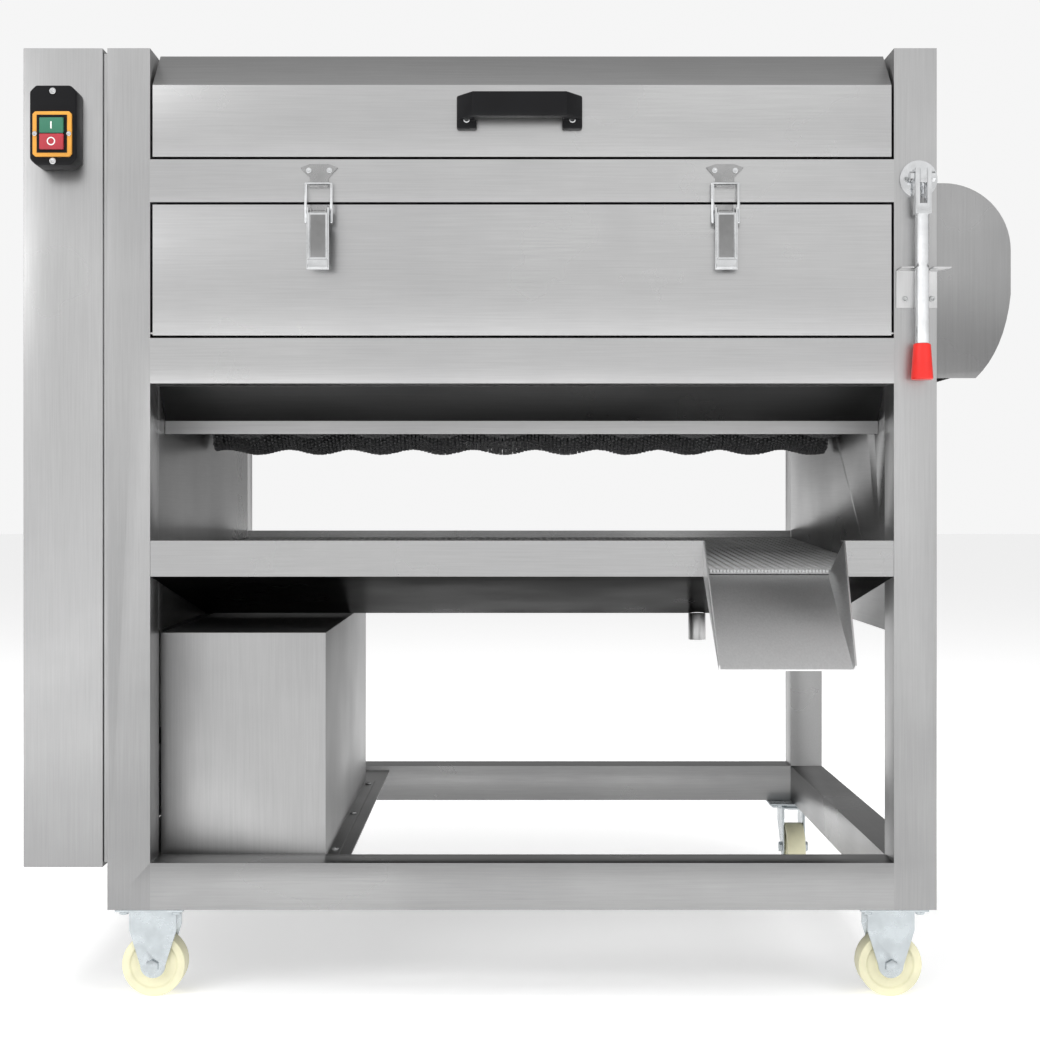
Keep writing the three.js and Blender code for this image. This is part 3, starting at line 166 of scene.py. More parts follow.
def noise(tree: Tree, scale: float, stretch: Sequence[float], detail: float) -> Node:
    """Adds a noise pattern on object coordinates.

    Args:
        tree: The material's nodes.
        scale: The pattern's scale.
        stretch: How much finer the pattern is along each axis.
        detail: The pattern's detail.

    Returns:
        The noise node.
    """
    place = add_node(tree, "TexCoord")
    turn = add_node(tree, "Mapping", Scale=stretch)
    pattern = add_node(tree, "TexNoise", Scale=scale, Detail=detail)
    tree.links.new(place.outputs["Object"], turn.inputs["Vector"])
    tree.links.new(turn.outputs["Vector"], pattern.inputs["Vector"])
    return pattern


def shades(tree: Tree, source: Node, low: Sequence[float], high: Sequence[float],
           start: float, end: float) -> Node:
    """Adds a ramp between two colours.

    Args:
        tree: The material's nodes.
        source: The pattern that drives the ramp.
        low: The colour at the start.
        high: The colour at the end.
        start: Where the ramp starts.
        end: Where the ramp ends.

    Returns:
        The ramp node.
    """
    ramp = add_node(tree, "ValToRGB")
    for element, position, colour in zip(ramp.color_ramp.elements, (start, end), (low, high)):
        element.position = position
        element.color = (*colour, 1.0)
    tree.links.new(source.outputs["Fac"], ramp.inputs["Fac"])
    return ramp


def add_range(tree: Tree, start: float, end: float, low: float, high: float) -> Node:
    """Adds a node that turns start to end into low to high.

    Args:
        tree: The nodes that it joins.
        start: The value that becomes low.
        end: The value that becomes high.
        low: The result at the start.
        high: The result at the end.

    Returns:
        The node.
    """
    return add_node(tree, "MapRange",
                    **{"From Min": start, "From Max": end, "To Min": low, "To Max": high})


def spread(tree: Tree, source: Node, low: float, high: float) -> Node:
    """Adds a node that spreads a pattern between two numbers.

    Args:
        tree: The material's nodes.
        source: The pattern.
        low: The number at the pattern's dark end.
        high: The number at its light end.

    Returns:
        The node that gives the number.
    """
    span = add_range(tree, *PATTERN_SPAN, low, high)
    tree.links.new(source.outputs["Fac"], span.inputs["Value"])
    return span


def emboss(tree: Tree, shader: Node, source: Node, depth: float) -> None:
    """Lets a pattern raise the surface.

    Args:
        tree: The material's nodes.
        shader: The shader whose normal it changes.
        source: The pattern.
        depth: The height in metres.
    """
    bump = add_node(tree, "Bump", Strength=0.5, Distance=depth)
    tree.links.new(source.outputs["Fac"], bump.inputs["Height"])
    tree.links.new(bump.outputs["Normal"], shader.inputs["Normal"])


def multiplied(tree: Tree, first: Socket, second: Socket, strength: float = 1.0) -> Socket:
    """Multiplies two colours.

    Args:
        tree: The material's nodes.
        first: The first colour.
        second: The second colour, or a grey.
        strength: How much the second one counts.

    Returns:
        The socket that gives the product.
    """
    mix = add_node(tree, "MixRGB", Fac=strength)
    mix.blend_type = "MULTIPLY"
    tree.links.new(first, mix.inputs["Color1"])
    tree.links.new(second, mix.inputs["Color2"])
    return mix.outputs["Color"]


@dataclass(frozen=True)
class BrushedSteel:
    """Stainless sheet with fine brushing, faint handling marks and painted shade that darkens it towards the
    floor.
    """

    name: str
    grain: Grain
    bright: float = 0.6
    rough: float = 0.3
    edge: float = 1.0
    # Painted shade: the heights in metres between which the steel darkens towards the floor, and the share of
    # its colour left at the lower one.
    floor_shade: Triple = (0.1, 0.75, 0.58)
    line_shares: Pair = (0.95, 1.04)
    mark_tint: Triple = (0.88, 0.88, 0.885)
    mark_scale: float = 5.0
    mark_strength: float = 0.8
    line_depth: float = 0.000012

    def make(self) -> Material:
        """Builds the finish."""
        made, tree, shader = new_material(self.name)
        brushing = noise(tree, 1.0, self.grain.value, 6.0)
        marks = noise(tree, self.mark_scale, EVEN, 5.0)
        dark, light = ([min(1.0, self.bright * part)] * 3 for part in self.line_shares)
        lines = shades(tree, brushing, dark, light, *PATTERN_SPAN)
        cloud = shades(tree, marks, self.mark_tint, EVEN, 0.34, 0.6)
        unshaded = multiplied(tree, lines.outputs["Color"], cloud.outputs["Color"], self.mark_strength)
        # The brushed colour gets painted shade that darkens it towards the floor.
        tree.links.new(self.shaded_towards_floor(tree, unshaded), shader.inputs["Base Color"])
        haze = spread(tree, marks, self.rough + 0.07, self.rough - 0.05)
        tree.links.new(haze.outputs["Result"], shader.inputs["Roughness"])
        shader.inputs["Metallic"].default_value = 1.0
        shader.inputs["Specular Tint"].default_value = (self.edge, self.edge, self.edge, 1.0)
        emboss(tree, shader, brushing, self.line_depth)
        return made

    def shaded_towards_floor(self, tree: Tree, colour: Socket) -> Socket:
        """Darkens the steel towards the floor: painted shade.

        Args:
            tree: The material's nodes.
            colour: The steel's colour before the painted shade.

        Returns:
            The socket that gives the dulled colour.
        """
        place = add_node(tree, "TexCoord")
        parts = add_node(tree, "SeparateXYZ")
        height = add_range(tree, *self.floor_shade, 1.0)
        height.interpolation_type = "SMOOTHSTEP"
        tree.links.new(place.outputs["Object"], parts.inputs["Vector"])
        tree.links.new(parts.outputs["Z"], height.inputs["Value"])
        return multiplied(tree, colour, height.outputs["Result"])


@dataclass(frozen=True)
class Plating:
    """Bright zinc or chrome plating with a faint haze."""

    name: str
    tint: Triple
    rough: float
    haze_scale: float = 60.0
    haze_share: float = 0.88
    haze_depth: float = 0.00005

    def make(self) -> Material:
        """Builds the finish."""
        made, tree, shader = new_material(self.name)
        haze = noise(tree, self.haze_scale, EVEN, 3.0)
        dark = [channel * self.haze_share for channel in self.tint]
        tone = shades(tree, haze, dark, self.tint, 0.35, 0.65)
        tree.links.new(tone.outputs["Color"], shader.inputs["Base Color"])
        gloss = spread(tree, haze, self.rough * 1.3, self.rough * 0.8)
        tree.links.new(gloss.outputs["Result"], shader.inputs["Roughness"])
        shader.inputs["Metallic"].default_value = 1.0
        emboss(tree, shader, haze, self.haze_depth)
        return made


@dataclass(frozen=True)
class Moulding:
    """Moulded plastic or enamel with a fine skin texture."""

    name: str
    tint: Triple
    rough: float
    texture: float = 700.0
    depth: float = 0.00006
    shine: float = 0.5
    wear_scale: float = 22.0
    wear_share: float = 0.85

    def make(self) -> Material:
        """Builds the finish."""
        made, tree, shader = new_material(self.name)
        skin = noise(tree, self.texture, EVEN, 4.0)
        wear = noise(tree, self.wear_scale, EVEN, 4.0)
        dark = [channel * self.wear_share for channel in self.tint]
        tone = shades(tree, wear, dark, self.tint, 0.35, 0.6)
        tree.links.new(tone.outputs["Color"], shader.inputs["Base Color"])
        gloss = spread(tree, wear, self.rough + 0.08, self.rough - 0.06)
        tree.links.new(gloss.outputs["Result"], shader.inputs["Roughness"])
        shader.inputs["Specular IOR Level"].default_value = self.shine
        emboss(tree, shader, skin, self.depth)
        return made


FINISHES = {
    finish.name: finish
    for finish in (
        BrushedSteel("steel_across", Grain.ALONG_X),
        BrushedSteel("steel_deep", Grain.ALONG_Y),
        BrushedSteel("steel_upright", Grain.ALONG_Z, 0.56, 0.32),
        BrushedSteel("steel_panel", Grain.ALONG_X, 0.6, 0.28),
        BrushedSteel("steel_guard", Grain.ALONG_Z, 0.6, 0.3),
        # Painted shade: a darker copy of the steel for the spout, darker still over its lower half.
        BrushedSteel("steel_spout", Grain.ALONG_Z, 0.44, 0.26, 1.0, (0.76, 0.9, 0.55)),
        # Painted shade: the motor cover darkens towards the floor less than the other steel.
        BrushedSteel("steel_cover", Grain.ALONG_Z, 0.6, 0.44, 1.0, (0.1, 0.75, 0.8)),
        # Painted shade: a darker copy of the steel for the end plates and the gate inside the machine.
        BrushedSteel("steel_plate", Grain.ALONG_Y, 0.46, 0.3),
        # Painted shade: a near-black steel for the apron and for the tray's faces that stand in shade.
        BrushedSteel("steel_shade", Grain.ALONG_X, 0.05, 0.3, 0.06),
        # Painted shade: a darker copy of the steel for the apron's lip.
        BrushedSteel("steel_lip_shade", Grain.ALONG_X, 0.36, 0.36),
        BrushedSteel("steel_slope", Grain.ALONG_X, 0.62, 0.4),
        BrushedSteel("steel_tray", Grain.ALONG_X, 0.6, 0.26),
        # Painted light: a brighter copy of the steel for the chute, with painted shade towards the floor.
        BrushedSteel("steel_chute", Grain.ALONG_Y, 0.9, 0.42, 1.0, (0.1, 0.5, 0.85)),
        Moulding("screen_grey", (0.62, 0.62, 0.62), 0.5, 300.0, 0.00006),
        BrushedSteel("steel_chain", Grain.ALONG_X, 0.16, 0.4),
        Plating("zinc", (0.6, 0.61, 0.61), 0.3),
        Plating("chrome", (0.78, 0.79, 0.8), 0.14),
        Plating("latch_dark", (0.3, 0.3, 0.3), 0.34),
        Plating("latch_zinc", (0.44, 0.44, 0.44), 0.26),
        Plating("caster_zinc", (0.53, 0.57, 0.59), 0.28),
        Moulding("black_plastic", (0.006, 0.006, 0.007), 0.42, 700.0, 0.00006, 0.2),
        Moulding("amber_plastic", (0.72, 0.33, 0.045), 0.4),
        Moulding("green_plastic", (0.035, 0.17, 0.105), 0.38),
        Moulding("red_plastic", (0.42, 0.035, 0.05), 0.38),
        Moulding("knob_plastic", (0.78, 0.022, 0.016), 0.3, 500.0, 0.00003),
        Moulding("white_mark", (0.85, 0.85, 0.83), 0.5),
        Moulding("wheel_nylon", (0.8, 0.77, 0.54), 0.45, 260.0, 0.0001),
        Moulding("bristle", (0.23, 0.23, 0.235), 0.55, 900.0, 0.0001),
        Moulding("bristle_core", (0.035, 0.035, 0.037), 0.8),
        Moulding("motor_enamel", (0.07, 0.11, 0.15), 0.38),
    )
}


@cache
def material(name: str) -> Material:
    """Gives a finish's material, made when it is first asked for."""
    return FINISHES[name].make()


def show(obj: Piece) -> None:
    """Puts an object into the scene."""
    bpy.context.scene.collection.objects.link(obj)


def pick(*objects: Piece) -> None:
    """Selects only these objects and makes the first one active.

    Args:
        *objects: The objects.
    """
    if bpy.context.object and bpy.context.object.mode != "OBJECT":
        bpy.ops.object.mode_set(mode="OBJECT")
    bpy.ops.object.select_all(action="DESELECT")
    for obj in objects:
        obj.select_set(True)
    bpy.context.view_layer.objects.active = objects[0]


@contextmanager
def editing(obj: Piece) -> Iterator[None]:
    """Opens a piece in edit mode and closes it again afterwards.

    Args:
        obj: The piece.

    Yields:
        Nothing.
    """
    pick(obj)
    bpy.ops.object.mode_set(mode="EDIT")
    yield
    bpy.ops.object.mode_set(mode="OBJECT")


def settle(name: str) -> Piece:
    """Names the new active primitive and moves its place into its mesh.

    Args:
        name: The piece's name.

    Returns:
        The piece.
    """
    obj = bpy.context.active_object
    obj.name = name
    obj.data.name = name
    pick(obj)
    bpy.ops.object.transform_apply(location=True, rotation=True, scale=True)
    return obj


def bar(name: str, low: Vector, high: Vector) -> Piece:
    """Adds a rectangular bar between two corners.

    Args:
        name: The bar's name.
        low: Its lowest corner.
        high: Its highest corner.

    Returns:
        The bar.
    """
    bpy.ops.object.select_all(action="DESELECT")
    bpy.ops.mesh.primitive_cube_add(size=1.0, location=(low + high) / 2)
    bpy.context.active_object.scale = high - low
    return settle(name)


def slab(name: str, middle: float, half: float, depths: Pair, heights: Pair) -> Piece:
    """Adds a plate that faces the front, at a machine place in millimetres.

    Args:
        name: The plate's name.
        middle: The middle of its width.
        half: Half its width.
        depths: Its front and back.
        heights: Its bottom and top.

    Returns:
        The plate.
    """
    return bar(name, spot(middle - half, depths[0], heights[0]),
               spot(middle + half, depths[1], heights[1]))


def drum(name: str, start: Vector, end: Vector, radius: float, sides: int = 32,
         end_radius: float | None = None) -> Piece:
    """Adds a round bar, or a cone when it has a second radius.

    Args:
        name: The piece's name.
        start: The middle of its first end.
        end: The middle of its second end.
        radius: Its radius in metres.
        sides: The number of its sides.
        end_radius: The radius at the second end.

    Returns:
        The piece.
    """
    run = end - start
    bpy.ops.object.select_all(action="DESELECT")
    bpy.ops.mesh.primitive_cone_add(
        vertices=sides, radius1=radius, radius2=radius if end_radius is None else end_radius,
        depth=run.length, location=(start + end) / 2, rotation=run.to_track_quat("Z", "Y").to_euler(),
    )
    return settle(name)


def edit_faces(obj: Piece, wanted: Callable[[Face], bool], steps: Callable[[], None]) -> None:
    """Selects faces by their place or normal and works on them in edit mode.

    Args:
        obj: The piece.
        wanted: Tells whether a face is taken.
        steps: The edit-mode work.
    """
    with editing(obj):
        bpy.ops.mesh.select_mode(type="FACE")
        bpy.ops.mesh.select_all(action="DESELECT")
    for face in obj.data.polygons:
        face.select = wanted(face)
    with editing(obj):
        steps()


def modify(obj: Piece, kind: str, **settings: object) -> None:
    """Applies a modifier to a piece.

    Args:
        obj: The piece.
        kind: The modifier's kind.
        **settings: Its settings.
    """
    pick(obj)
    modifier = obj.modifiers.new(kind, kind)
    for name, value in settings.items():
        setattr(modifier, name, value)
    bpy.ops.object.modifier_apply(modifier=modifier.name)


def soften(obj: Piece, width: float, steps: int = 2, angle: float = SMOOTH_ANGLE) -> Piece:
    """Rounds the sharp edges of a piece and smooths the rest.

    Args:
        obj: The piece.
        width: The rounding in metres.
        steps: The number of steps round each edge.
        angle: Edges sharper than this many degrees are rounded.

    Returns:
        The same piece.
    """
    limit = math.radians(angle)
    modify(obj, "BEVEL", width=width, segments=steps, limit_method="ANGLE", angle_limit=limit)
    bpy.ops.object.shade_smooth_by_angle(angle=limit)
    return obj


def unite(name: str, objects: Sequence[Piece]) -> Piece:
    """Joins pieces into one object, each part keeping its own finish.

    Args:
        name: The joined piece's name.
        objects: The pieces.

    Returns:
        The joined piece.
    """
    pick(*objects)
    bpy.ops.object.join()
    joined = bpy.context.active_object
    joined.name = name
    joined.data.name = name
    return joined


def twin(source: Piece, name: str, shift: Vector) -> Piece:
    """Copies a piece with its own mesh and shifts the copy.

    Args:
        source: The piece.
        name: The copy's name.
        shift: How far the copy is shifted.

    Returns:
        The copy.
    """
    copy = source.copy()
    copy.data = source.data.copy()
    copy.name = name
    copy.data.name = name
    show(copy)
    pick(copy)
    copy.location = shift
    bpy.ops.object.transform_apply(location=True, rotation=False, scale=False)
    return copy


def drawn_from(node: str, name: str, clear_flats: bool = True) -> Piece:
    """Copies a solid's mesh, closes its loose corners and clears the lines across its flats.

    Args:
        node: The solid's name.
        name: The new piece's name.
        clear_flats: Whether the lines across its flats are cleared.

    Returns:
        The new piece.
    """
    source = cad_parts[node]
    obj = bpy.data.objects.new(name, source.data.copy())
    obj.data.name = name
    obj.data.materials.clear()
    show(obj)
    pick(obj)
    if obj.data.has_custom_normals:
        bpy.ops.mesh.customdata_custom_splitnormals_clear()
    with editing(obj):
        bpy.ops.mesh.select_all(action="SELECT")
        bpy.ops.mesh.remove_doubles(threshold=WELD_GAP)
        if clear_flats:
            bpy.ops.mesh.dissolve_limited(angle_limit=math.radians(FLAT_ANGLE))
    return obj


def paint(obj: Piece, finish: str) -> Piece:
    """Gives a piece one finish all over.

    Args:
        obj: The piece.
        finish: The finish's name.

    Returns:
        The same piece.
    """
    obj.data.materials.clear()
    obj.data.materials.append(material(finish))
    return obj


def share(obj: Piece, finishes: Sequence[str],
          choose: Callable[[Face], int]) -> Piece:
    """Gives a piece several finishes.

    Args:
        obj: The piece.
        finishes: The finishes' names.
        choose: Gives a face's place in that list.

    Returns:
        The same piece.
    """
    obj.data.materials.clear()
    for finish in finishes:
        obj.data.materials.append(material(finish))
    for face in obj.data.polygons:
        face.material_index = choose(face)
    return obj


def seat(obj: Piece, body: str, slot: str, *nodes: str) -> Piece:
    """Seats a finished piece on its body.

    Args:
        obj: The piece.
        body: The body that carries it.
        slot: The record's material slot; not used.
        *nodes: The solids that it stands for.

    Returns:
        The same piece.
    """
    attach(obj, body)
    if nodes:
        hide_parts(*nodes)
    log.info("%s: %d faces on %s", obj.name, len(obj.data.polygons), body)
    return obj


def redraw(node: str, body: str, slot: str, finish: str, width: float, steps: int = 2,
           angle: float = SMOOTH_ANGLE) -> Piece:
    """Replaces a solid by the same shape with rounded edges and a finish.

    Args:
        node: The solid's name.
        body: The body that carries it.
        slot: The record's material slot.
        finish: Its finish.
        width: The rounding in metres.
        steps: The number of steps round each edge.
        angle: Edges sharper than this many degrees are rounded.

    Returns:
        The new piece.
    """
    obj = soften(drawn_from(node, f"{node}_dressed"), width, steps, angle)
    return seat(paint(obj, finish), body, slot, node)


def screw(name: str, at: Vector, out: Vector, finish: str) -> Piece:
    """Models a pan-head screw with a round recess.

    Args:
        name: The screw's name, which also gives its size.
        at: The middle of its head's underside.
        out: The way its head points.
        finish: Its finish.

    Returns:
        The screw.
    """
    radius, height = SCREW_SIZES[name]
    head = drum(name, at, at + out * height, radius, HEAD_SIDES)
    sink = tuple(out * -height * RECESS_DEPTH_SHARE)

    def recess() -> None:
        """Sinks the driver's recess into the head."""
        bpy.ops.mesh.inset(thickness=radius * RECESS_RIM_SHARE)
        bpy.ops.mesh.extrude_region_move(TRANSFORM_OT_translate={"value": sink})

    edit_faces(head, lambda face: face.normal.dot(out) > FACES_SAME_WAY, recess)
    return paint(soften(head, height * HEAD_ROUNDING_SHARE, 2, 50.0), finish)


def open_ring(obj: Piece, rim: float) -> Piece:
    """Opens a plate or disc that faces the front into a ring.

    Args:
        obj: The plate.
        rim: The ring's width in metres.

    Returns:
        The same piece.
    """

    def hollow() -> None:
        """Takes the middle of both faces out."""
        bpy.ops.mesh.inset(thickness=rim)
        bpy.ops.mesh.delete(type="FACE")

    edit_faces(obj, lambda face: abs(face.normal.y) > FACES_SAME_WAY, hollow)
    with editing(obj):
        bpy.ops.mesh.select_mode(type="EDGE")
        bpy.ops.mesh.select_all(action="DESELECT")
        bpy.ops.mesh.select_non_manifold()
        bpy.ops.mesh.bridge_edge_loops()
    bpy.ops.object.shade_smooth_by_angle(angle=math.radians(SMOOTH_ANGLE))
    return obj


@dataclass
class TubeFrame:
    """The welded frame of square tube, its joints ground flush and its corners rounded."""

    tube: float = 50.0
    depth: float = 790.0
    rounding: float = 0.0022

    def cuts(self) -> Iterator[tuple[Vector, Vector]]:
        """Finds the planes where the brushing changes its way.

        Yields:
            A point on each plane and its normal.
        """
        inner = HALF_WIDTH - self.tube
        for x in (-inner, inner):
            yield spot(x, 0.0, 0.0), Vector((1.0, 0.0, 0.0))
        for y in (self.tube, self.depth - self.tube):
            yield spot(0.0, y, 0.0), Vector((0.0, 1.0, 0.0))

    def finish_for(self, centre: Vector) -> int:
        """Picks the finish of a face.

        Args:
            centre: The face's middle.

        Returns:
            0 for brushing across, 1 for upright and 2 for deep.
        """
        inner = HALF_WIDTH - self.tube
        low, high = spot(-inner, self.tube, 0.0), spot(inner, self.depth - self.tube, 0.0)
        if low.x < centre.x < high.x:
            return 0
        return 2 if low.y < centre.y < high.y else 1

    def build(self) -> None:
        """Redraws the frame and lays its brushing along each tube."""
        tubes = soften(drawn_from("frame", "tube_frame"), self.rounding, 3)
        for point, normal in self.cuts():
            with editing(tubes):
                bpy.ops.mesh.select_all(action="SELECT")
                bpy.ops.mesh.bisect(plane_co=point, plane_no=normal)
        share(tubes, ("steel_across", "steel_upright", "steel_deep"),
              lambda face: self.finish_for(face.center))
        seat(tubes, "base", "frame_tube", "frame")


@dataclass(frozen=True)
class Bowl:
    """The half ring on which the rollers hang."""

    middle_depth: float = 395.0
    middle_height: float = 962.0
    radius: float = 260.0
    count: int = 9

    def place(self, index: int) -> Triple:
        """Finds a roller's place.

        Args:
            index: The roller's number, from 0.

        Returns:
            Its turn round the bowl, its depth and its height.
        """
        turn = math.pi + math.pi * index / (self.count - 1)
        return (turn, self.middle_depth + self.radius * math.cos(turn),
                self.middle_height + self.radius * math.sin(turn))


BOWL = Bowl()
TUFT_FACES = ((0, 1, 4, 3), (1, 2, 5, 4), (2, 0, 3, 5), (3, 4, 5), (2, 1, 0))


@dataclass
class BrushRoller:
    """One brush roller: shaft, sprocket, core and tufts whose tips wind round it in a helix."""

    number: int
    core: float = 31.0
    tip: float = 46.5
    wave: float = 3.5
    pitch: float = 86.0
    half_length: float = 425.0
    ring_gap: float = 5.0
    tufts_round: int = 48
    tuft_root: float = 1.6
    tuft_tip: float = 2.5
    lean: float = 0.7
    worn: float = 0.6
    shaft_ends: Pair = (-544.5, 465.0)
    shaft_radius: float = 9.9
    sprocket: Pair = (-536.5, 34.0)
    driven_sprocket: Pair = (-516.5, 31.0)
    sprocket_half: float = 4.0
    sprocket_rim: float = 0.006
    dish_depth: float = 0.001

    def tip_radius(self, along: float, across: float, up: float) -> float:
        """Gives the tuft's reach in millimetres at a place on the brush."""
        turn = math.atan2(up, -across)
        return self.tip + self.wave * math.cos(2 * math.pi * along / self.pitch - turn)

    def tuft(self, along: float, angle: float, chance: random.Random) -> Iterator[Triple]:
        """Shapes one tuft, three-sided and wider at its tip.

        Args:
            along: Its root's place along the roller in millimetres.
            angle: Its place round the roller.
            chance: The source of its small differences.

        Yields:
            The three corners of its root and the three of its tip, in metres.
        """
        across, up = math.cos(angle), math.sin(angle)
        reach = self.tip_radius(along, across, up)
        lean = chance.uniform(-self.lean, self.lean)
        tip = reach - chance.uniform(0.0, self.worn)
        for radius, width, slide in ((self.core, self.tuft_root, 0.0), (tip, self.tuft_tip, lean)):
            for corner in range(3):
                bend = 2 * math.pi * corner / 3
                side = width * math.cos(bend)
                yield ((along + slide + width * math.sin(bend)) * MM,
                       (across * radius - up * side) * MM,
                       (up * radius + across * side) * MM)

    def tufts(self) -> Piece:
        """Models the tufts; no operator follows their helix, so their corners are set in code.

        Returns:
            All tufts of the roller as one piece.
        """
        chance = random.Random(self.number)
        corners: list[Triple] = []
        faces: list[tuple[int, ...]] = []
        for ring in range(int(2 * self.half_length / self.ring_gap)):
            along = -self.half_length + self.ring_gap * (ring + 0.5)
            for step in range(self.tufts_round):
                angle = 2 * math.pi * (step + 0.5 * (ring % 2)) / self.tufts_round
                first = len(corners)
                corners += self.tuft(along, angle, chance)
                faces += [tuple(first + corner for corner in face) for face in TUFT_FACES]
        mesh = bpy.data.meshes.new("tufts")
        mesh.from_pydata(corners, [], faces)
        tufts = bpy.data.objects.new("tufts", mesh)
        show(tufts)
        with editing(tufts):
            bpy.ops.mesh.select_all(action="SELECT")
            bpy.ops.mesh.normals_make_consistent(inside=False)
        return paint(tufts, "bristle")

    def build_first(self, middle: bool) -> Piece:
        """Models a roller about its own axis.

        Args:
            middle: Whether it carries the second, driven sprocket.

        Returns:
            The roller, lying along X through the picture's origin.
        """
        def along(x: float) -> Vector:
            """A place on the roller's axis."""
            return Vector((x * MM, 0.0, 0.0))

        parts = [self.tufts()]
        core = drum("core", along(-self.half_length), along(self.half_length), self.core * MM, 32)
        parts.append(paint(soften(core, 0.002), "bristle_core"))
        shaft = drum("shaft", *(along(x) for x in self.shaft_ends), self.shaft_radius * MM, 24)
        parts.append(paint(soften(shaft, 0.001), "steel_chain"))
        for x, radius in (self.sprocket, self.driven_sprocket) if middle else (self.sprocket,):
            wheel = drum("sprocket", along(x - self.sprocket_half), along(x + self.sprocket_half),
                         radius * MM, 40)
            edit_faces(wheel, lambda face: abs(face.normal.x) > FACES_SAME_WAY, self.dish)
            parts.append(paint(soften(wheel, 0.0006, 1), "steel_chain"))
        return unite("roller", parts)

    def dish(self) -> None:
        """Sinks a sprocket's faces inside their rim."""
        bpy.ops.mesh.inset(thickness=self.sprocket_rim)
        bpy.ops.mesh.inset(thickness=self.dish_depth, depth=-self.dish_depth)


@dataclass
class RollerBed:
    """The nine rollers hung in a U."""

    def build(self) -> None:
        """Models two rollers and copies them to the others' places."""
        middle = BOWL.count // 2
        plain = BrushRoller(1).build_first(False)
        driven = BrushRoller(middle + 1).build_first(True)
        start = spot(0.0, 0.0, 0.0).x
        for index in range(BOWL.count):
            _, depth, height = BOWL.place(index)
            centre = spot(0.0, depth, height)
            source = driven if index == middle else plain
            number = index + 1
            roller = twin(source, f"roller_{number}_bristled", Vector((start, centre.y, centre.z)))
            seat(roller, f"roller_{number}", "bristle_nylon", f"brush_roller_{number}")
        for spare in (plain, driven):
            bpy.data.objects.remove(spare)


@dataclass
class Wheel:
    """A nylon caster wheel with a rounded tread, dished sides and a hub."""

    node: str
    body: str
    across: Vector
    radius: float = 37.5
    half_width: float = 14.0
    web: tuple[Pair, ...] = ((0.009, 0.0), (0.0015, -0.0025), (0.010, 0.0), (0.0015, 0.0025))

    def build(self) -> None:
        """Builds the wheel where its solid stands."""
        low, high = (Vector(corner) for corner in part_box(self.node))
        centre = (low + high) / 2
        side = self.across * self.half_width * MM
        tread = drum(self.node + "_tread", centre - side, centre + side, self.radius * MM, 64)

        def dish() -> None:
            """Sinks the web between the tread and the hub."""
            for width, depth in self.web:
                bpy.ops.mesh.inset(thickness=width, depth=depth)

        edit_faces(tread, lambda face: abs(face.normal.dot(self.across)) > FACES_SAME_WAY, dish)
        seat(paint(soften(tread, 0.0012, 2, 35.0), "wheel_nylon"), self.body, "wheel_nylon", self.node)


@dataclass
class Casters:
    """Four casters: two rigid ones in front and two swivels behind."""

    plate_middle: float = 437.0
    plate_depths: tuple[tuple[str, float], ...] = (("front", 42.0), ("back", 748.0))
    plate_underside: float = 105.7
    bolt_offset: float = 31.0
    rounding: float = 0.0008

    def build(self) -> None:
        """Builds wheels, forks and plates."""
        for side, short in (("left", "l"), ("right", "r")):
            Wheel(f"front_wheel_{side}", f"front_wheel_{short}", Vector((0.0, 1.0, 0.0))).build()
            Wheel(f"back_wheel_{side}", f"back_wheel_{short}", Vector((1.0, 0.0, 0.0))).build()
            for node, body in ((f"rigid_fork_{side}", "base"), (f"swivel_fork_{side}", f"swivel_{short}"),
                               (f"swivel_plate_{side}", "base")):
                redraw(node, body, "caster_zinc", "caster_zinc", self.rounding)
            self.plate_bolts(side)

    def plate_bolts(self, side: str) -> None:
        """Adds the four bolt heads under each top plate.

        Args:
            side: The casters' side.
        """
        x = -self.plate_middle if side == "left" else self.plate_middle
        corners = (-self.bolt_offset, self.bolt_offset)
        for place, y in self.plate_depths:
            heads = [screw("bolt", spot(x + dx, y + dy, self.plate_underside), DOWN, "caster_zinc")
                     for dx in corners for dy in corners]
            seat(unite(f"plate_bolts_{place}_{side}", heads), "base", "caster_zinc")


OUTER_SHEETS = (
    ("front_door", "door_body", "sheet_steel", "steel_panel", 0.0009),
    ("drive_guard", "base", "sheet_steel", "steel_guard", 0.0009),
    ("motor_cover", "base", "sheet_steel", "steel_cover", 0.0008),
    ("motor_base", "base", "sheet_steel", "steel_cover", 0.0006),
    ("back_panel", "base", "sheet_steel", "steel_panel", 0.0004),
    ("discharge_spout", "base", "sheet_steel", "steel_spout", 0.0006, 2, 30.0),
)
INNER_PIECES = (
    ("chute", "base", "sheet_steel", "steel_chute", 0.0004),
    ("gate", "gate_body", "sheet_steel", "steel_plate", 0.0005),
    ("gate_pin", "base", "hinge_steel", "zinc", 0.0003),
    ("end_plate_left", "base", "end_plate_steel", "steel_plate", 0.0004, 1),
    ("end_plate_right", "base", "end_plate_steel", "steel_plate", 0.0004, 1),
    ("lid_hinge_left", "base", "hinge_steel", "zinc", 0.0004),
    ("lid_hinge_right", "base", "hinge_steel", "zinc", 0.0004),
    ("drain_pipe", "base", "pipe_steel", "steel_guard", 0.0003),
    ("spray_pipe", "base", "pipe_steel", "steel_across", 0.0008),
    ("gear_motor", "base", "motor_paint", "motor_enamel", 0.002, 3),
    ("drive_sprocket", "drive", "chain_steel", "steel_chain", 0.0006),
    ("roller_chain", "base", "chain_steel", "steel_chain", 0.0006),
    ("drive_chain", "base", "chain_steel", "steel_chain", 0.0006),
)


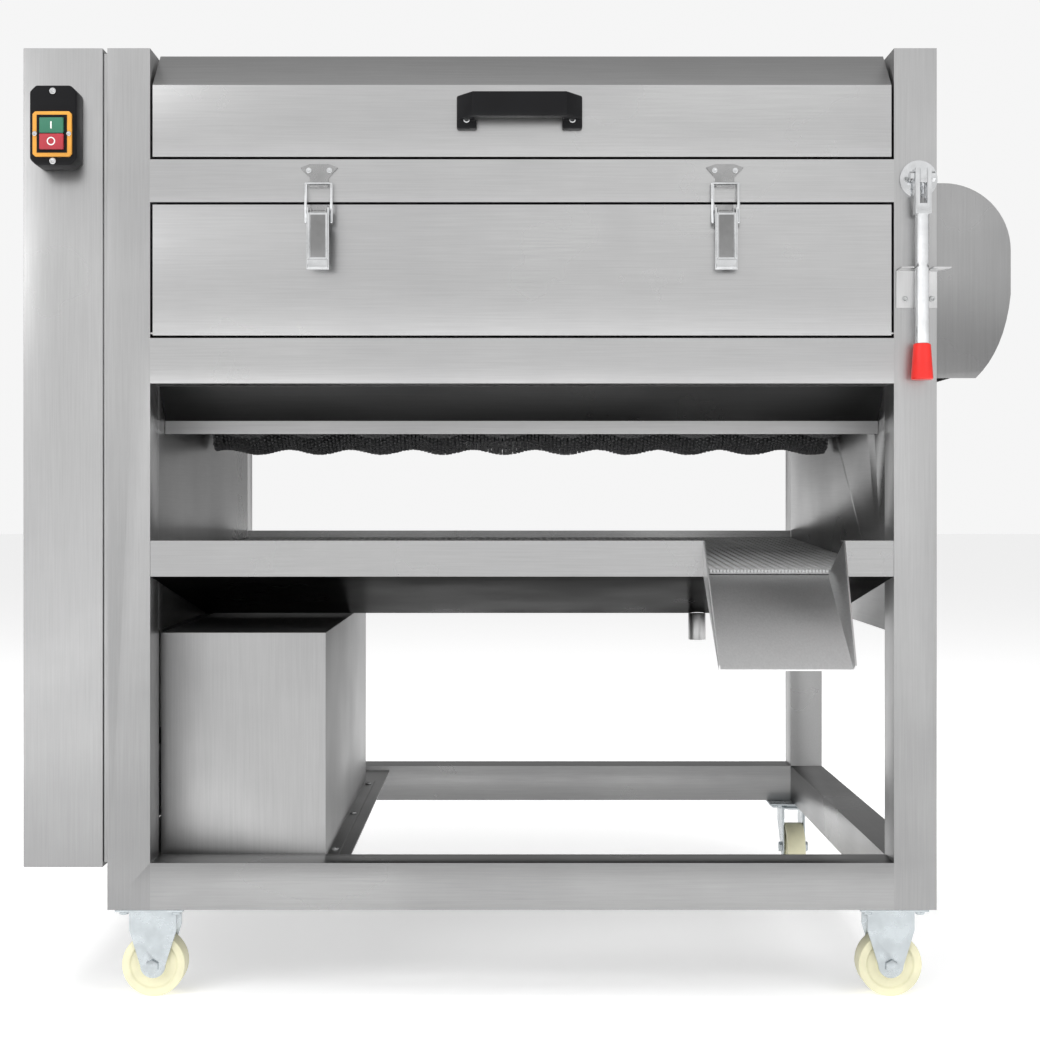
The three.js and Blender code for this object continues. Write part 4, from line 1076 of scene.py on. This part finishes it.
@dataclass
class Panels:
    """The sheet pieces: lid, door, guard, covers, tray, chute and spout."""

    lip_top: float = 685.0
    lip_lean: float = 0.6
    chamfer_lean: Pair = (0.5, 0.9)
    floor_lean: float = 0.5
    screen_cells: tuple[int, int] = (87, 73)
    screen_rim: float = 0.0021
    screen_thick: float = 0.0018
    sheet: float = 0.002
    end_gap: float = 0.001
    tooth: tuple[Vector, Vector] = (spot(216.0, 1.0, 503.4), spot(218.3, 3.4, 507.0))
    tooth_count: int = 40
    tooth_step: float = 0.004

    def is_lip(self, face: Face) -> bool:
        """Tells whether a face lies on the apron's light lip."""
        return face.center.z < self.lip_top * MM and abs(face.normal.y) > self.lip_lean

    def screen(self) -> None:
        """Models the perforated plate in the tray, a grid with a hole in each square."""
        low, high = (Vector(corner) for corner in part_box("tray_screen"))
        run = Vector((0.0, high.y - low.y, high.z - low.z - self.sheet))
        bpy.ops.object.select_all(action="DESELECT")
        bpy.ops.mesh.primitive_grid_add(
            x_subdivisions=self.screen_cells[0], y_subdivisions=self.screen_cells[1], size=1.0,
            location=(low + high) / 2, rotation=(math.atan2(run.z, run.y), 0.0, 0.0),
        )
        bpy.context.active_object.scale = (high.x - low.x, run.length - self.end_gap, 1.0)
        plate = settle("perforated_screen")

        def punch() -> None:
            """Punches the holes."""
            bpy.ops.mesh.inset(thickness=self.screen_rim, use_individual=True)
            bpy.ops.mesh.delete(type="FACE")

        edit_faces(plate, lambda face: True, punch)
        modify(plate, "SOLIDIFY", thickness=self.screen_thick, offset=0.0)
        seat(paint(plate, "screen_grey"), "base", "dark_sheet", "tray_screen")

    def screen_edge(self) -> None:
        """Models the plate's sawn front edge where it shows over the chute."""
        tooth = bar("screen_edge", *self.tooth)
        modify(tooth, "ARRAY", count=self.tooth_count, use_relative_offset=False,
               use_constant_offset=True, constant_offset_displace=(self.tooth_step, 0.0, 0.0))
        seat(paint(tooth, "zinc"), "base", "dark_sheet")

    def build(self) -> None:
        """Redraws each sheet with its folded edges and finish."""
        lid = soften(drawn_from("lid", "lid_dressed"), 0.0009)
        flat, upright = self.chamfer_lean
        share(lid, ("steel_panel", "steel_slope"), lambda face: int(flat < face.normal.z < upright))
        seat(lid, "lid_body", "sheet_steel", "lid")
        for sheet in OUTER_SHEETS:
            redraw(*sheet)
        apron = soften(drawn_from("front_apron", "front_apron_dressed"), 0.0006)
        # Painted shade: the apron's faces get the near-black steel, and its lip gets a lighter but still
        # darkened copy of the steel.
        share(apron, ("steel_shade", "steel_lip_shade"), lambda face: int(self.is_lip(face)))
        seat(apron, "base", "dark_sheet", "front_apron")
        tray = drawn_from("tray", "tray_dressed", False)
        bpy.ops.object.shade_smooth_by_angle(angle=math.radians(SMOOTH_ANGLE))
        # Painted shade: the tray's faces that lie near flat, above and below, get the near-black steel.
        share(tray, ("steel_tray", "steel_shade"), lambda face: int(abs(face.normal.z) > self.floor_lean))
        seat(tray, "base", "sheet_steel", "tray")
        self.screen()
        self.screen_edge()
        for piece in INNER_PIECES:
            redraw(*piece)


@dataclass
class Latches:
    """The two toggle latches with their rivets."""

    spacing: float = 237.0
    rivet_offset: float = 12.0
    rivet_height: float = 973.5
    catch_face: float = -2.3
    strips: tuple[tuple[str, float, float, Pair, Pair, str, float, int], ...] = (
        ("panel", 0.0, 8.6, (-17.5, -16.7), (870.0, 919.5), "latch_dark", 0.0004, 2),
        ("left_rail", -10.4, 1.3, (-18.3, -16.7), (868.5, 921.5), "chrome", 0.0011, 3),
        ("right_rail", 10.4, 1.3, (-18.3, -16.7), (868.5, 921.5), "chrome", 0.0011, 3),
        ("lip", 0.0, 12.2, (-19.6, -16.7), (856.5, 867.5), "chrome", 0.0011, 3),
    )

    def build(self) -> None:
        """Redraws both latches and adds their rivets."""
        for side, x in (("left", -self.spacing), ("right", self.spacing)):
            redraw(f"latch_catch_{side}", "base", "latch_zinc", "latch_zinc", 0.0004)
            redraw(f"latch_base_{side}", "door_body", "latch_zinc", "latch_zinc", 0.0004)
            redraw(f"latch_lever_{side}", f"latch_{side}", "latch_chrome", "chrome", 0.0006)
            redraw(f"latch_bail_{side}", f"bail_{side}", "latch_chrome", "chrome", 0.0003)
            rivets = [screw("rivet", spot(x + dx, self.catch_face, self.rivet_height), FRONT, "chrome")
                      for dx in (-self.rivet_offset, self.rivet_offset)]
            seat(unite(f"catch_rivets_{side}", rivets), "base", "latch_zinc")
            self.lever_front(side, x)

    def lever_front(self, side: str, x: float) -> None:
        """Adds the lever's sunk panel, its two rails and its rolled lower lip.

        Args:
            side: The latch's side.
            x: Its middle.
        """
        parts = []
        for name, offset, half, depths, heights, finish, width, steps in self.strips:
            strip = slab(name, x + offset, half, depths, heights)
            parts.append(paint(soften(strip, width, steps), finish))
        seat(unite(f"lever_front_{side}", parts), f"latch_{side}", "latch_chrome")


@dataclass
class LidHandle:
    """The black bridge handle and its two screws."""

    middle: float = -3.0
    screw_offset: float = 61.5
    screw_height: float = 1030.0
    screw_depths: Pair = (-14.0, -15.0)

    def build(self) -> None:
        """Redraws the handle with soft corners and adds the screws."""
        redraw("lid_handle", "lid_body", "black_plastic", "black_plastic", 0.0022, 3, 25.0)
        screws = []
        for x in (self.middle - self.screw_offset, self.middle + self.screw_offset):
            under, over = (spot(x, y, self.screw_height) for y in self.screw_depths)
            screws.append(screw("handle_ring", under, FRONT, "black_plastic"))
            screws.append(screw("handle_screw", over, FRONT, "chrome"))
        seat(unite("handle_screws", screws), "lid_body", "latch_chrome")


@dataclass
class Switch:
    """The start and stop switch in its black box with an amber bezel."""

    middle: float = -540.0
    box_face: float = -32.3
    bezel_face: float = -36.6
    box_screw_heights: Pair = (978.5, 1059.0)
    bezel_screw_height: float = 1009.0
    bezel_screw_offset: float = 19.6
    well_half: float = 17.4
    well_heights: Pair = (987.2, 1030.8)
    well_depths: Pair = (-37.0, -36.4)
    stroke_half: float = 0.8
    stroke_heights: Pair = (1014.2, 1022.4)
    mark_depths: Pair = (-40.75, -40.2)
    ring_height: float = 999.75
    well_rim: float = 0.0033
    ring_radius: float = 0.0048
    ring_rim: float = 0.0013

    def build(self) -> None:
        """Redraws the switch's pieces and adds marks and screws."""
        redraw("switch_box", "base", "black_plastic", "black_plastic", 0.0025, 3, 30.0)
        redraw("switch_bezel", "base", "yellow_plastic", "amber_plastic", 0.0008)
        redraw("start_button", "start", "green_plastic", "green_plastic", 0.0012, 3)
        redraw("stop_button", "stop", "red_plastic", "red_plastic", 0.0012, 3)
        box_screws = [screw("box_screw", spot(self.middle, self.box_face, z), FRONT, "chrome")
                      for z in self.box_screw_heights]
        bezel_screws = [screw("bezel_screw", spot(self.middle + dx, self.bezel_face, self.bezel_screw_height),
                              FRONT, "chrome")
                        for dx in (-self.bezel_screw_offset, self.bezel_screw_offset)]
        seat(unite("switch_screws", box_screws + bezel_screws), "base", "latch_chrome")
        well = slab("switch_well", self.middle, self.well_half, self.well_depths, self.well_heights)
        seat(paint(open_ring(well, self.well_rim), "black_plastic"), "base", "black_plastic")
        stroke = slab("start_stroke", self.middle, self.stroke_half, self.mark_depths, self.stroke_heights)
        seat(paint(soften(stroke, 0.0002), "white_mark"), "start", "yellow_plastic")
        front, back = (spot(self.middle, y, self.ring_height) for y in self.mark_depths)
        ring = open_ring(drum("stop_ring", back, front, self.ring_radius, 40), self.ring_rim)
        seat(paint(ring, "white_mark"), "stop", "yellow_plastic")


@dataclass
class GateLever:
    """The lever that works the discharge gate, its clevis, knob and guide."""

    flange_middle: Pair = (463.0, 963.0)
    flange_holes: tuple[Pair, ...] = ((-15.0, 0.0), (15.0, 0.0), (0.0, -16.0))
    flange_face: float = -4.3
    guide_bolts: Pair = (447.0, 479.0)
    guide_bolt_height: float = 823.0
    guide_face: float = -2.3

    def build(self) -> None:
        """Redraws the lever's pieces and adds the flange screws."""
        redraw("lever_flange", "base", "lever_chrome", "chrome", 0.0006)
        redraw("gate_lever", "lever", "lever_chrome", "chrome", 0.0009, 2, 35.0)
        redraw("lever_knob", "lever", "knob_plastic", "knob_plastic", 0.002, 3, 60.0)
        redraw("lever_guide", "base", "sheet_steel", "steel_guard", 0.0006)
        x, z = self.flange_middle
        screws = [screw("flange_screw", spot(x + dx, self.flange_face, z + dz), FRONT, "zinc")
                  for dx, dz in self.flange_holes]
        seat(unite("flange_screws", screws), "base", "lever_chrome")
        bolts = [screw("guide_bolt", spot(x, self.guide_face, self.guide_bolt_height), FRONT, "zinc")
                 for x in self.guide_bolts]
        seat(unite("guide_bolts", bolts), "base", "latch_zinc")


@dataclass
class Fasteners:
    """Small hardware on the motor cover and the bearing housings."""

    cover_edge: float = -229.0
    cover_bolts: tuple[float, ...] = (100.0, 345.0, 590.0)
    cover_top: float = 159.0
    housing_face: float = 452.0
    housing_circle: float = 15.3
    housing_screws: int = 3

    def build(self) -> None:
        """Adds the cover's bolts and the bearing screws."""
        bolts = [screw("cover_bolt", spot(self.cover_edge, y, self.cover_top), UP, "zinc")
                 for y in self.cover_bolts]
        seat(unite("cover_bolts", bolts), "base", "latch_zinc")
        for side, sign in (("left", -1.0), ("right", 1.0)):
            out = Vector((sign, 0.0, 0.0))
            screws = [screw("bearing_screw", at, out, "zinc") for at in self.housing(sign)]
            seat(unite(f"bearing_screws_{side}", screws), "base", "latch_zinc")

    def housing(self, sign: float) -> Iterator[Vector]:
        """Finds the places of the bearing screws.

        Args:
            sign: -1 for the left end plate and 1 for the right one.

        Yields:
            Each screw's place.
        """
        for index in range(BOWL.count):
            turn, y, z = BOWL.place(index)
            for step in range(self.housing_screws):
                bend = turn + 2 * math.pi * step / self.housing_screws
                yield spot(sign * self.housing_face, y + self.housing_circle * math.cos(bend),
                           z + self.housing_circle * math.sin(bend))


@dataclass(frozen=True)
class Lamp:
    """One soft square light, which the steel mirrors or not."""

    name: str
    at: Triple
    size: float
    power: float
    mirrored: bool = False

    def hang(self, target: Vector) -> None:
        """Hangs the light.

        Args:
            target: What it points at.
        """
        light = bpy.data.lights.new(self.name, "AREA")
        light.shape = "SQUARE"
        light.size = self.size
        light.energy = self.power
        obj = bpy.data.objects.new(self.name, light)
        obj.location = self.at
        obj.rotation_euler = (target - obj.location).to_track_quat("-Z", "Y").to_euler()
        obj.visible_glossy = self.mirrored
        show(obj)


@dataclass
class Studio:
    """A pale floor, soft lights and the camera at the photograph's angle."""

    lens: float = 59.2
    shift_x: float = 0.00865
    shift_y: float = -0.0163
    wall: float = 0.92
    floor_size: float = 60.0
    floor_glow: float = 0.4
    sensor: float = 36.0
    eye: Triple = (-12.9, -2000.0, 585.0)
    aim: Triple = (0.0, 0.0, 0.6)
    paper: Pair = (0.9, 0.93)
    falls: tuple[tuple[str, float, float, float, float], ...] = (
        ("Y", 0.25, -0.75, 0.3, 0.95), ("Z", -0.3, 0.25, 0.72, 1.0))
    clouds: Pair = (0.88, 1.05)
    cloud_scale: float = 2.2
    floor_grain: float = 30.0
    lamps: tuple[Lamp, ...] = (
        Lamp("key_light", (-1.9, -2.6, 2.6), 2.2, 42.0),
        Lamp("side_light", (-2.6, -2.2, 1.9), 1.2, 5.0, True),
        Lamp("fill_light", (2.4, -2.4, 1.6), 1.8, 18.0),
        Lamp("top_light", (0.0, 0.0, 3.6), 3.2, 90.0),
    )

    def floor(self) -> None:
        """Lays the pale floor."""
        bpy.ops.object.select_all(action="DESELECT")
        bpy.ops.mesh.primitive_plane_add(size=self.floor_size, location=(0.0, 0.0, 0.0))
        sheet = settle("studio_floor")
        paper, tree, shader = new_material("studio_paper")
        grain = noise(tree, self.floor_grain, EVEN, 2.0)
        dark, light = ([tone] * 3 for tone in self.paper)
        tones = shades(tree, grain, dark, light, *PATTERN_SPAN)
        tree.links.new(tones.outputs["Color"], shader.inputs["Base Color"])
        shader.inputs["Roughness"].default_value = 0.9
        shader.inputs["Specular IOR Level"].default_value = 0.1
        shader.inputs["Emission Color"].default_value = (1.0, 1.0, 1.0, 1.0)
        shader.inputs["Emission Strength"].default_value = self.floor_glow
        sheet.data.materials.append(paper)
        sheet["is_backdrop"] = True

    def room(self) -> None:
        """Paints the studio: a white wall behind the machine, a bright side in front."""
        world = bpy.data.worlds.new("studio_room")
        world.use_nodes = True
        tree = world.node_tree
        sky = tree.nodes["Background"]
        way = add_node(tree, "TexCoord")
        parts = add_node(tree, "SeparateXYZ")
        tree.links.new(way.outputs["Generated"], parts.inputs["Vector"])
        spans = []
        for axis, *values in self.falls:
            span = add_range(tree, *values)
            tree.links.new(parts.outputs[axis], span.inputs["Value"])
            spans.append(span)
        both = add_node(tree, "Math")
        both.operation = "MULTIPLY"
        for socket, span in enumerate(spans):
            tree.links.new(span.outputs["Result"], both.inputs[socket])
        clouds = add_node(tree, "TexNoise", Scale=self.cloud_scale, Detail=1.0)
        tree.links.new(way.outputs["Generated"], clouds.inputs["Vector"])
        uneven = add_node(tree, "Math")
        uneven.operation = "MULTIPLY"
        tree.links.new(both.outputs["Value"], uneven.inputs[0])
        tree.links.new(spread(tree, clouds, *self.clouds).outputs["Result"], uneven.inputs[1])
        ray = add_node(tree, "LightPath")
        wall = add_node(tree, "Mix")
        wall.data_type = "FLOAT"
        wall.inputs["B"].default_value = self.wall
        tree.links.new(ray.outputs["Is Camera Ray"], wall.inputs["Factor"])
        tree.links.new(uneven.outputs["Value"], wall.inputs["A"])
        tree.links.new(wall.outputs["Result"], sky.inputs["Color"])
        bpy.context.scene.world = world

    def build(self) -> None:
        """Sets floor, lights, room and camera."""
        self.floor()
        for lamp in self.lamps:
            lamp.hang(Vector(self.aim))
        self.room()
        camera = bpy.data.cameras.new("camera")
        camera.lens = self.lens
        camera.sensor_width = self.sensor
        camera.shift_x = self.shift_x
        camera.shift_y = self.shift_y
        viewer = bpy.data.objects.new("camera", camera)
        viewer.location = spot(*self.eye)
        viewer.rotation_euler = (math.pi / 2, 0.0, 0.0)
        show(viewer)
        bpy.context.scene.camera = viewer
        bpy.context.scene.view_settings.view_transform = "Standard"


def main() -> None:
    """Builds the machine piece by piece."""
    logging.basicConfig(level=logging.INFO, format="%(message)s")
    assemblies = (Studio(), TubeFrame(), Panels(), RollerBed(), Casters(), Latches(), LidHandle(), Switch(),
                  GateLever(), Fasteners())
    for assembly in assemblies:
        log.info("building %s", type(assembly).__name__)
        assembly.build()
    seen = [list(corner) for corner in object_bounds()]
    ({"cad": [[float(v) for v in c] for c in CAD_BOX],
               "visual": [[float(v) for v in c] for c in seen]})


if __name__ == "__main__":
    main()
